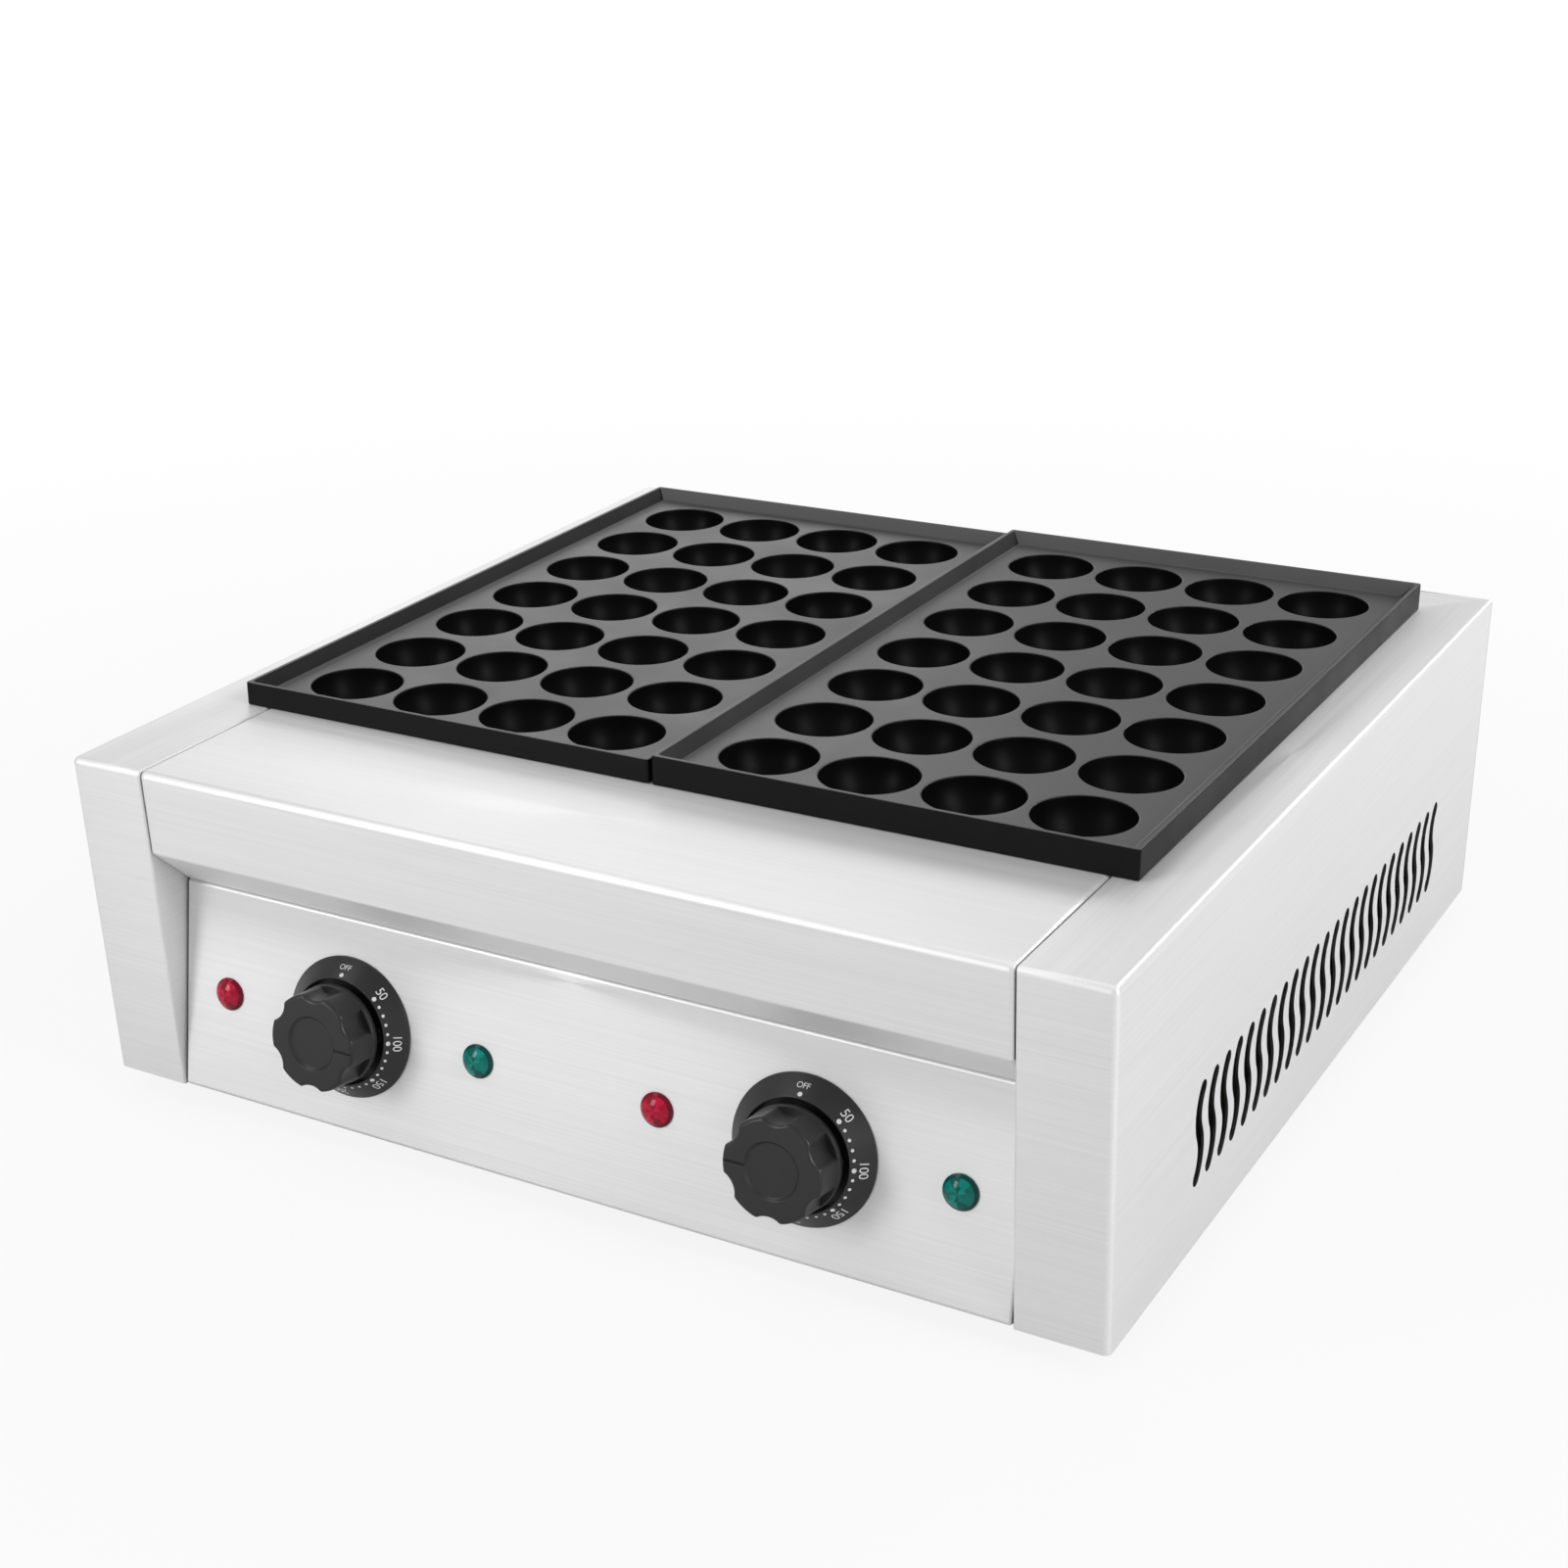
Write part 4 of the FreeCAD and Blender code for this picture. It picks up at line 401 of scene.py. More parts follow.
def cutAway(piece, cutter, crossing=False):
    # crossing is for a cutter whose own parts run through each other
    cut = piece.modifiers.new("cut", "BOOLEAN")
    cut.object = cutter
    cut.solver = "EXACT"
    cut.use_self = crossing
    settle(piece)
    bpy.data.objects.remove(cutter)


def foldedSheet(name, corners, radii, inward, halfAt, seam, seamWidth=None):
    # a sheet folded along X: its outside follows the corners, its ends round over at the seams
    path = rounded(corners, radii)
    wide = seamWidth or seam
    steps = 4
    rings = []
    for index, point in enumerate(path):
        before = path[max(index - 1, 0)]
        after = path[min(index + 1, len(path) - 1)]
        way = ((point - before).normalized() + (after - point).normalized()).normalized()
        inside = Vector((-way.y, way.x)) * inward
        half = halfAt(point)
        ring = []
        for step in range(steps + 1):
            angle = math.pi / 2 * step / steps
            ring.append((half - wide + wide * math.sin(angle), seam - seam * math.cos(angle)))
        ring.append((half, sheet["gauge"]))
        ring += [(-x, depth) for x, depth in reversed(ring)]
        rings.append([(x * mm, (point.x + inside.x * depth) * mm, (point.y + inside.y * depth) * mm)
                      for x, depth in ring])
    piece = cappedFrom(name, rings)
    paint(piece, "steelX")
    shade(piece)
    return done(piece, "cooker_body", "stainless", name)


def newTree(name, inputs):
    # a tree with its geometry sockets and the named inputs
    tree = bpy.data.node_groups.new(name, "GeometryNodeTree")
    for label, kind in {"Geometry": "Geometry", **inputs}.items():
        tree.interface.new_socket(label, in_out="INPUT", socket_type="NodeSocket" + kind)
    tree.interface.new_socket("Geometry", in_out="OUTPUT", socket_type="NodeSocketGeometry")
    return tree, addNode(tree, "NodeGroupInput").outputs


def joinedItems(tree, given, items):
    # the incoming geometry and the items, realized
    joined = addNode(tree, "GeometryNodeJoinGeometry")
    tree.links.new(given["Geometry"], joined.inputs["Geometry"])
    tree.links.new(items.outputs[0], joined.inputs["Geometry"])
    return addNode(tree, "GeometryNodeRealizeInstances", {0: joined})


def endTree(tree, given, geometry):
    painted = addNode(tree, "GeometryNodeSetMaterial", {
        "Geometry": geometry, "Material": given["Material"],
    })
    addNode(tree, "NodeGroupOutput", {"Geometry": painted})
    return tree


def repeatTree(name, cutting=False):
    # repeats an item along two steps; joined to the geometry, or cut out of it
    tree, given = newTree(name, {
        "Item": "Object", "First count": "Int", "First step": "Vector", "Second count": "Int",
        "Second step": "Vector", "Start": "Vector", "Merge distance": "Float", "Material": "Material",
    })
    first = addNode(tree, "GeometryNodeMeshLine", {
        "Count": given["First count"], "Start Location": given["Start"],
        "Offset": given["First step"],
    }, mode="OFFSET")
    second = addNode(tree, "GeometryNodeMeshLine", {
        "Count": given["Second count"], "Offset": given["Second step"],
    }, mode="OFFSET")
    lines = addNode(tree, "GeometryNodeInstanceOnPoints", {"Points": second, "Instance": first})
    grid = addNode(tree, "GeometryNodeRealizeInstances", {0: lines})
    item = addNode(tree, "GeometryNodeObjectInfo", {"Object": given["Item"]},
                   transform_space="ORIGINAL").outputs["Geometry"]
    items = addNode(tree, "GeometryNodeInstanceOnPoints", {"Points": grid, "Instance": item})
    if cutting:
        real = addNode(tree, "GeometryNodeRealizeInstances", {0: items})
        cut = addNode(tree, "GeometryNodeMeshBoolean", {
            "Mesh 1": given["Geometry"], "Mesh 2": real,
        }, operation="DIFFERENCE", solver="EXACT")
        whole = addNode(tree, "GeometryNodeRealizeInstances", {0: cut})
    else:
        whole = addNode(tree, "GeometryNodeMergeByDistance", {
            "Geometry": joinedItems(tree, given, items), "Distance": given["Merge distance"],
        })
    return endTree(tree, given, whole)


repeating = repeatTree("repeatItems")
cuttingOut = repeatTree("cutItemsOut", cutting=True)


def applyTree(piece, tree, values):
    modifier = piece.modifiers.new(tree.name, "NODES")
    modifier.node_group = tree
    for socket in tree.interface.items_tree:
        if socket.in_out == "INPUT" and socket.name in values:
            modifier[socket.identifier] = values[socket.name]
    bpy.context.view_layer.update()
    settle(piece)


def repeat(piece, tree, item, first, second, start, look, merge=0.0):
    applyTree(piece, tree, {
        "Item": item, "First count": first[0], "First step": tuple(part * mm for part in first[1]),
        "Second count": second[0], "Second step": tuple(part * mm for part in second[1]),
        "Start": tuple(part * mm for part in start), "Merge distance": merge * mm,
        "Material": looks[look],
    })
    bpy.data.objects.remove(item)


def rowsOf(name, item, first, second, start, look, slotName, sharp, *nodes):
    # a piece of the body that is an item in rows
    piece = newPiece(name, bpy.data.meshes.new(name))
    repeat(piece, repeating, item, first, second, start, look)
    shade(piece, sharp)
    return done(piece, "cooker_body", slotName, *nodes)


vents = {"count": 24, "pitch": 13.2, "height": 44.0, "width": 6.6, "sway": 2.8, "lean": 3.0,
         "setback": 92.1, "rise": 49.0}


def ventCutter(x):
    # an S that bows to the front above and to the back below, and leans to the back
    half = (vents["height"] - vents["width"]) / 2
    bow = ((half / 2) ** 2 + vents["sway"] ** 2) / (2 * vents["sway"])
    sweep = math.asin(half / 2 / bow)
    tilt = Matrix.Rotation(-math.radians(vents["lean"]), 2)
    centres = []
    for sign in (1, -1):
        for step in range(10 if sign > 0 else 11):
            angle = sweep * (1 - step / 5) * sign
            y = (bow - vents["sway"] - bow * math.cos(angle)) * sign
            z = half / 2 * sign + bow * math.sin(angle) * sign
            centres.append(tilt @ Vector((y, z)))
    radius = vents["width"] / 2
    left, right = [], []
    for index, point in enumerate(centres):
        way = (centres[min(index + 1, len(centres) - 1)] - centres[max(index - 1, 0)]).normalized()
        side = Vector((way.y, -way.x)) * radius
        left.append(point + side)
        right.append(point - side)
    outline = list(left)
    for end, arm in ((centres[-1], left[-1] - centres[-1]), (centres[0], right[0] - centres[0])):
        if end is centres[0]:
            outline += reversed(right)
        outline += [end + swung(arm, math.pi * step / 8) for step in range(1, 8)]
    return cappedFrom("ventCutter", [
        [((x + reach) * mm, point.x * mm, point.y * mm) for point in outline] for reach in (-4, 4)])


def sidePanel(side, name):
    shape = {"recess": 26.0, "mitre": 36.6}
    top, low, back = sheet["top"], sheet["floor"], sheet["sideBack"]
    outer, inner = sheet["outer"] * side, sheet["inner"] * side
    front, foot = sheet["front"], sheet["panelFoot"]
    spots = {
        "A": (outer, front, top), "B": (outer, foot, low),
        "C": (outer, back, low), "D": (outer, back, top),
        "M": (outer - side * 1.5, back, top), "N": (inner, sheet["back"] - shape["mitre"], top),
        "a": (inner, front, top), "b": (inner, foot, low),
        "c": (inner, back, low), "d": (inner, back, top),
        "r": (inner, front + shape["recess"], top), "s": (inner, foot + shape["recess"], low),
    }
    made = bmesh.new()
    corners = {key: made.verts.new(Vector(spot) * mm) for key, spot in spots.items()}
    for face in ("ABCD", "ADMNra", "AabB", "BbscC", "CcdMD", "arsb"):
        made.faces.new([corners[key] for key in face])
    bmesh.ops.recalc_face_normals(made, faces=made.faces)
    made.faces.ensure_lookup_table()
    if made.faces[0].normal.x * side < 0:
        bmesh.ops.reverse_faces(made, faces=made.faces)
    piece = pieceFrom(name, made, outward=False)
    thick = piece.modifiers.new("thickness", "SOLIDIFY")
    thick.thickness = sheet["gauge"] * mm
    thick.offset = -1
    thick.use_even_offset = True
    settle(piece)
    # the outside edges are bent: wide where walls meet, narrow along the seams
    weights = piece.data.attributes.new("bevel_weight_edge", "FLOAT", "EDGE")
    bends = {"AB": 1.0, "AD": 1.0, "Aa": 1.0, "ab": 0.35, "ar": 0.35, "rN": 0.35}
    for edge in piece.data.edges:
        ends = [piece.data.vertices[index].co / mm for index in edge.vertices]
        for pair, weight in bends.items():
            wanted = [Vector(spots[key]) for key in pair]
            for order in (wanted, wanted[::-1]):
                if all((end - spot).length < 0.01 for end, spot in zip(ends, order)):
                    weights.data[edge.index].value = weight
    bend = piece.modifiers.new("bend", "BEVEL")
    bend.limit_method = "WEIGHT"
    bend.width = sheet["bend"] * mm
    bend.segments = 5
    bend.use_clamp_overlap = False
    settle(piece)
    repeat(piece, cuttingOut, ventCutter(outer - side * sheet["gauge"] / 2),
           (vents["count"], (0, vents["pitch"], 0)), (1, (0, 0, 0)),
           (0, sheet["front"] + vents["setback"], sheet["floor"] + vents["rise"]), "steelY")
    paint(piece, "steelY", "steelX", "shadedLiner")
    middle = sheet["floor"] + vents["rise"]
    # painted shade: the slots' cut walls and the sheet's inside face take the darkened liner steel,
    # so the vents and the inside read dark
    for polygon in piece.data.polygons:
        across, depth = polygon.normal.x * side, sheet["outer"] - polygon.center.x * side / mm
        inSlot = 0.1 < depth < sheet["gauge"] - 0.1 and abs(across) < 0.1 and (
            abs(polygon.center.z / mm - middle) < vents["height"] / 2 + 0.1)
        isInside = across < -0.5 and depth < sheet["gauge"] + 0.5
        facesAlong = abs(polygon.normal.y) > 0.75
        polygon.material_index = 2 if inSlot or isInside else (1 if facesAlong else 0)
    shade(piece)
    return done(piece, "cooker_body", "stainless", name)


sidePanel(-1, "left_side_panel")
sidePanel(1, "right_side_panel")
print("side panels made")


def frontHood():
    shape = {"lipHeight": 121.0, "tail": 12.0, "lipBend": 2.4, "tailBend": 1.3, "seam": 1.1,
             "seamWidth": 2.2, "reach": 0.3}
    lipY = sheet["front"] + (sheet["top"] - shape["lipHeight"]) * sheet["rake"]
    tailY = panelY(hoodLow.z)
    corners = [
        (hoodHigh.y, sheet["top"]), (sheet["front"], sheet["top"]), (lipY, shape["lipHeight"]),
        (tailY, hoodLow.z), (tailY + shape["tail"], hoodLow.z),
    ]
    radii = [0, sheet["bend"], shape["lipBend"], shape["tailBend"], 0]
    return foldedSheet("front_hood", corners, radii, 1, lambda point: hoodHigh.x + shape["reach"],
                       shape["seam"], shape["seamWidth"])


def controlPanel():
    shape = {"tail": 12.0, "foot": 15.0, "bend": 2.0, "seam": 1.0}
    topY = panelY(panelHigh.z)
    corners = [
        (topY + shape["tail"], panelHigh.z), (topY, panelHigh.z),
        (panelLow.y, panelLow.z), (panelLow.y + shape["foot"], panelLow.z),
    ]
    return foldedSheet("control_panel", corners, [0, shape["bend"], shape["bend"], 0], 1,
                       lambda point: panelHigh.x, shape["seam"])


def backPanel():
    shape = {"flange": 36.6, "foot": 15.0, "topBend": 2.0, "footBend": 1.5, "seam": 0.4, "play": 0.3}

    def halfAt(point):
        # the deck flange narrows along its mitres; the foot flange stops between the side panels
        into = wallHigh.y - point.x
        if point.y > sheet["top"] - 2.5:
            return wallHigh.x - max(into - shape["play"], 0)
        if point.y < sheet["floor"] + 0.1 and into > 1.0:
            return sheet["inner"] - shape["play"]
        return wallHigh.x

    deck, wall, foot = wallHigh.y - shape["flange"], wallHigh.y, wallHigh.y - shape["foot"]
    corners = [(deck, sheet["top"]), (wall, sheet["top"]), (wall, sheet["floor"]),
               (foot, sheet["floor"])]
    return foldedSheet("back_panel", corners, [0, shape["topBend"], shape["footBend"], 0], -1,
                       halfAt, shape["seam"])


frontHood()
controlPanel()
backPanel()
print("hood, control panel and back panel made")


cups = {"columns": 4, "rows": 7, "columnPitch": 44.3, "rowPitch": 47.5, "radius": 20.0,
        "lip": 0.8, "wall": 2.0, "floor": 2.8, "segments": 48}
columns, rows, pitchX, pitchY = list(cups.values())[:4]


def cupTile():
    # one cup with its square of web, top and underside; the squares' edges meet their neighbours
    made = bmesh.new()
    layer = made.verts.layers.float.new("web")
    halfX, halfY = pitchX / 2, pitchY / 2
    count, quarter = cups["segments"], cups["segments"] // 4
    square = []
    for index in range(count):
        share = index % quarter / quarter * 2 - 1
        square.append([(halfX, halfY * share), (-halfX * share, halfY),
                       (-halfX, -halfY * share), (halfX * share, -halfY)][index // quarter])
    radius, lip = cups["radius"], cups["lip"]
    outside = radius + cups["wall"]
    inner = [(radius + lip - lip * math.sin(a), -lip + lip * math.cos(a))
             for a in [math.pi / 2 * step / 4 for step in range(4)]]
    inner += [(radius * math.cos(a), -lip - radius * math.sin(a))
              for a in [math.pi / 2 * step / 14 for step in range(15)]]
    tilt = math.asin((cups["floor"] - lip) / outside)
    outer = [(outside * math.cos(a), -lip - outside * math.sin(a))
             for a in [tilt + (math.pi / 2 - tilt) * step / 10 for step in range(11)]]
    for profile, level in ((inner, 0.0), (outer, -cups["floor"])):
        rings = [[(x * mm, y * mm, level * mm) for x, y in square]]
        for r, z in profile:
            if r < 1e-6:
                rings.append([(0, 0, z * mm)])
                continue
            rings.append([(r * math.cos(a) * mm, r * math.sin(a) * mm, z * mm) for a in
                          [math.tau * index / count - math.pi / 4 for index in range(count)]])
        layers = ringsMesh(made, rings)
        # web is 1 on the square and the cup's mouth and 0 down in the cup, which the coating paints
        # darker as painted shade in the hollow
        for ring in layers[:2] if level == 0 else []:
            for vertex in ring:
                vertex[layer] = 1.0
        if level == 0:
            made.faces.ensure_lookup_table()
            upper = list(made.faces)
    for face in made.faces:
        face.normal_update()
    first = upper[0]
    if first.normal.z < 0:
        bmesh.ops.reverse_faces(made, faces=upper)
    under = [face for face in made.faces if face not in set(upper)]
    if under[0].normal.z > 0:
        bmesh.ops.reverse_faces(made, faces=under)
    return pieceFrom("cupTile", made, outward=False)


def grillPlate(side, name):
    shape = {"rim": 1.8, "draft": 4.7, "basin": 5.5, "wall": 4.0, "edge": 0.5, "foot": 2.0,
             "corner": 1.0, "play": 0.2, "wallShade": 0.6}
    low, high = box(name)
    middle = (low + high) / 2
    halfX, halfY = (high.x - low.x) / 2, (high.y - low.y) / 2
    top = high.z
    seat = sheet["top"] + shape["play"]
    web = top - shape["basin"]
    under = web - cups["floor"]
    made = bmesh.new()
    layer = made.verts.layers.float.new("web")

    def loop(inset, z):
        # a rounded rectangle, inset from the plate's outside
        points = []
        corner = shape["corner"] + 0.4 * inset
        x, y = halfX - inset - corner, halfY - inset - corner
        for turnIndex, (sx, sy) in enumerate(((1, 1), (-1, 1), (-1, -1), (1, -1))):
            for step in range(6):
                angle = math.pi / 2 * (turnIndex + step / 5)
                points.append(((middle.x + sx * x + corner * math.cos(angle)) * mm,
                               (middle.y + sy * y + corner * math.sin(angle)) * mm, z * mm))
        return points

    def tiled(z):
        # the outline of the cup squares, with their points
        step = cups["segments"] // 4
        acrossX, acrossY = columns * step, rows * step
        x, y = columns * pitchX / 2, rows * pitchY / 2
        half = [(x, -y + 2 * y * index / acrossY) for index in range(acrossY)]
        half += [(x - 2 * x * index / acrossX, y) for index in range(acrossX)]
        points = half + [(-px, -py) for px, py in half]
        return [((middle.x + px) * mm, (middle.y + py) * mm, z * mm) for px, py in points]

    rim, edge, foot, wall = shape["rim"], shape["edge"], shape["foot"], shape["wall"]
    slope = rim + shape["draft"]
    profile = rounded([
        (slope + foot, web), (slope, web), (rim, top), (0, top), (0, seat), (wall, seat),
        (wall, under),
    ], [0, foot, edge, edge, 0.4, 0, 0], steps=4)
    layers = ringsMesh(made, [loop(inset, z) for inset, z in profile])
    # painted shade: the rim's walls get a web value between the web's and the cups', so they come out
    # darker; the rim's top stays lit
    for index, ring in enumerate(layers):
        onTop = index < 2 or top - profile[index].y < edge / 2
        for vertex in ring:
            vertex[layer] = 1.0 if onTop else shape["wallShade"]
    for level, border in ((web, layers[0]), (under, layers[-1])):
        inner = [made.verts.new(point) for point in tiled(level)]
        if level == web:
            for vertex in inner:
                vertex[layer] = 1.0
        edges = [made.edges.new((inner[i], inner[(i + 1) % len(inner)])) for i in range(len(inner))]
        count = len(border)
        edges += [made.edges.get((border[i], border[(i + 1) % count])) for i in range(count)]
        bmesh.ops.triangle_fill(made, use_beauty=True, edges=edges)
    bmesh.ops.recalc_face_normals(made, faces=made.faces)
    made.faces.ensure_lookup_table()
    upper = max(made.faces, key=lambda face: face.calc_center_median().z)
    if upper.normal.z < 0:
        bmesh.ops.reverse_faces(made, faces=made.faces)
    piece = pieceFrom(name, made, outward=False)
    firstX = middle.x - (columns - 1) * pitchX / 2
    firstY = middle.y - (rows - 1) * pitchY / 2
    repeat(piece, repeating, cupTile(), (columns, (pitchX, 0, 0)), (rows, (0, pitchY, 0)),
           (firstX, firstY, web), "cast", merge=0.02)
    paint(piece, "cast", "web")
    for polygon in piece.data.polygons:
        # painted light: the web, the rim tops and the wall at the back, which faces the front, have
        # the lighter coating; the other faces take the darker copy as painted shade
        level = polygon.center.z / mm
        backWall = polygon.normal.y < -0.5 and polygon.center.y / mm > high.y - slope - 1
        light = polygon.normal.z > 0.8 or backWall
        polygon.material_index = 1 if light and level > web - 0.3 else 0
    shade(piece, 40)
    return done(piece, "left_plate" if side < 0 else "right_plate", "plate_coating", name)


grillPlate(-1, "left_grill_plate")
grillPlate(1, "right_grill_plate")
print("grill plates made")


controls = {"offset": 104.7, "rise": 46.1, "lamp": 63.3, "dial": 30.1, "dialEdge": 1.0,
            "crest": 22.9, "crestHeight": 8.2, "well": 22.4, "wellFloor": 1.8}


def onPanel(piece, x):
    # knobs, dials and lamps are made about Z: Z points out of the panel, Y up along it
    z = sheet["floor"] + controls["rise"]
    place = Matrix.Translation(Vector((x, panelY(z), z)) * mm)
    piece.data.transform(place @ Matrix.Rotation(math.pi / 2 - lean, 4, "X"))
    return piece


def knob(side, name):
    shape = {"standoff": 9.8, "skirt": 20.9, "skirtEdge": 2.4, "gripBack": 20.7, "gripFront": 20.4,
             "face": 26.5, "roundOver": 1.6, "lobes": 6, "hollowRadius": 9.0, "hollowCentre": 27.2,
             "hollowStart": 13.4, "cap": 11.5, "capDepth": 1.1, "hub": 8.0, "hubBack": 2.3,
             "groove": 1.4, "grooveDepth": 0.9}
    (standoff, skirt, skirtEdge, gripBack, gripFront, face, roundOver, lobes, hollowRadius,
     hollowCentre, start, cap, capDepth, hub, hubBack, groove, grooveDepth) = shape.values()
    capInside, floor = cap - capDepth, face - capDepth

    def reach(radius, angle, height):
        # a grip's radius where a finger hollow bites into it
        if height < start - 0.01 or radius < cap * 1.05:
            return radius
        sector = math.tau / lobes
        off = (angle % sector) - sector / 2
        across = hollowCentre * math.sin(off)
        if abs(across) >= hollowRadius:
            return radius
        edge = hollowCentre * math.cos(off) - math.sqrt(hollowRadius ** 2 - across ** 2)
        return min(radius, edge * min(radius / gripFront, 1))

    skirtTop = standoff + skirtEdge
    profile = rounded([
        (0, hubBack), (hub, hubBack), (hub, standoff), (skirt, standoff),
        (skirt, skirtTop - 0.3), (gripBack, skirtTop),
    ], [0, 0.3, 0, 0.4, 0.4, 0], steps=3)
    profile += [Vector((gripBack - 0.02, start - 0.02)), Vector((gripBack - 0.03, start))]
    profile += rounded([
        (gripBack - 0.05, start + 0.5), (gripFront, face), (cap, face), (capInside, floor),
        (0, floor),
    ], [0, roundOver, 0.35, 0.35, 0], steps=4)
    piece = turned(name, profile, 180, reach)
    # the pointer groove, on the side towards the middle of the machine
    near, far = capInside + 0.4, gripBack + 2
    made = bmesh.new()
    addBlock(made, (far - near, groove, 4.0),
             (-side * (near + far) / 2, 0, face - grooveDepth + 2.0))
    cutAway(piece, pieceFrom("grooveCutter", made))
    paint(piece, "knob")
    onPanel(piece, side * controls["offset"])
    shade(piece, 35)
    return done(piece, "left_dial" if side < 0 else "right_dial", "knob_plastic", name)


# the dial slopes from its crest round the knob down to its edge
dialSlope = math.atan2(controls["crestHeight"] - controls["dialEdge"],
                       controls["dial"] - controls["crest"])


def dialBezel(side, name):
    bore, edge, crest = 3.6, controls["dialEdge"], controls["crestHeight"]
    piece = turned(name, rounded([
        (bore, 0), (controls["dial"], 0), (controls["dial"], edge), (controls["crest"], crest),
        (controls["well"], crest), (controls["well"], controls["wellFloor"]),
        (bore, controls["wellFloor"]), (bore, 0),
    ], [0, 0, 0.5, 0.2, 0.2, 0, 0, 0], steps=4), 128)
    paint(piece, "bezel")
    onPanel(piece, side * controls["offset"])
    shade(piece)
    return done(piece, "cooker_body", "bezel_paint", name)


def dotsTree():
    # printed dots along an arc, every fifth one larger
    tree, given = newTree("dialDots", {
        "Count": "Int", "Radius": "Float", "First angle": "Float", "Step": "Float",
        "Large": "Float", "Small": "Float", "Height": "Float", "Material": "Material",
    })
    line = addNode(tree, "GeometryNodeMeshLine", {"Count": given["Count"]}, mode="OFFSET")
    index = addNode(tree, "GeometryNodeInputIndex").outputs["Index"]
    angle = compute(tree, "MULTIPLY_ADD", index, given["Step"], given["First angle"])
    place = addNode(tree, "ShaderNodeCombineXYZ", {
        "X": compute(tree, "MULTIPLY", compute(tree, "SINE", angle), given["Radius"]),
        "Y": compute(tree, "MULTIPLY", compute(tree, "COSINE", angle), given["Radius"]),
        "Z": given["Height"],
    })
    arc = addNode(tree, "GeometryNodeSetPosition", {"Geometry": line, "Position": place})
    isSmall = compute(tree, "GREATER_THAN", compute(tree, "MODULO", index, 5.0), 0.5)
    size = spread(tree, isSmall, given["Large"], given["Small"], 0.0, 1.0)
    dot = addNode(tree, "GeometryNodeMeshCircle", {"Vertices": 20, "Radius": 1.0}, fill_type="NGON")
    dots = addNode(tree, "GeometryNodeInstanceOnPoints", {
        "Points": arc, "Instance": dot, "Scale": size,
    })
    return endTree(tree, given, joinedItems(tree, given, dots))


dialDots = dotsTree()


def dialPrint(side, name):
    # plain numbers and dots, laid out flat and then set down on the slope, a hair above it
    look = {"textRadius": 27.7, "textHeight": 3.8, "offHeight": 2.5, "dotRadius": 24.1, "large": 0.95,
            "small": 0.65, "numbers": 5, "firstAngle": 43.5, "step": 46.25, "above": 0.04}
    marks = [("OFF", 0.0, look["offHeight"])]
    for index in range(look["numbers"]):
        angle = look["firstAngle"] + look["step"] * index
        marks.append((str(50 * (index + 1)), angle, look["textHeight"]))
    made = bmesh.new()
    for text, degrees, height in marks:
        curve = bpy.data.curves.new("mark", "FONT")
        curve.body = text
        curve.size = height * 1.38 * mm  # the type's capitals are a little lower than its size
        curve.align_x = "CENTER"
        curve.align_y = "CENTER"
        curve.space_character = 0.95
        letters = newPiece("mark", curve)
        graph = bpy.context.evaluated_depsgraph_get()
        mesh = bpy.data.meshes.new_from_object(letters.evaluated_get(graph))
        bpy.data.objects.remove(letters)
        turn = Matrix.Rotation(-math.radians(degrees), 4, "Z")
        mesh.transform(turn @ Matrix.Translation((0, look["textRadius"] * mm, 0)))
        made.from_mesh(mesh)
        bpy.data.meshes.remove(mesh)
    offDot = bmesh.ops.create_circle(made, cap_ends=True, segments=20, radius=look["large"] * mm)
    bmesh.ops.translate(made, verts=offDot["verts"], vec=Vector((0, look["dotRadius"] * mm, 0)))
    piece = pieceFrom(name, made, outward=False)
    applyTree(piece, dialDots, {
        "Count": 5 * look["numbers"] - 4, "Radius": look["dotRadius"] * mm,
        "First angle": math.radians(look["firstAngle"]), "Step": math.radians(look["step"] / 5),
        "Large": look["large"] * mm, "Small": look["small"] * mm, "Height": 0.0,
        "Material": looks["ink"],
    })
    for vertex in piece.data.vertices:
        flat = math.hypot(vertex.co.x, vertex.co.y) / mm
        radius = look["dotRadius"] + (flat - look["dotRadius"]) * math.cos(dialSlope)
        height = controls["crestHeight"] - (radius - controls["crest"]) * math.tan(dialSlope)
        vertex.co *= radius / flat
        vertex.co.z = (height + look["above"] / math.cos(dialSlope)) * mm
    upright = bmesh.new()
    upright.from_mesh(piece.data)
    for face in upright.faces:
        if face.normal.z < 0:
            face.normal_flip()
    upright.to_mesh(piece.data)
    upright.free()
    onPanel(piece, side * controls["offset"])
    return done(piece, "cooker_body", "bezel_paint")


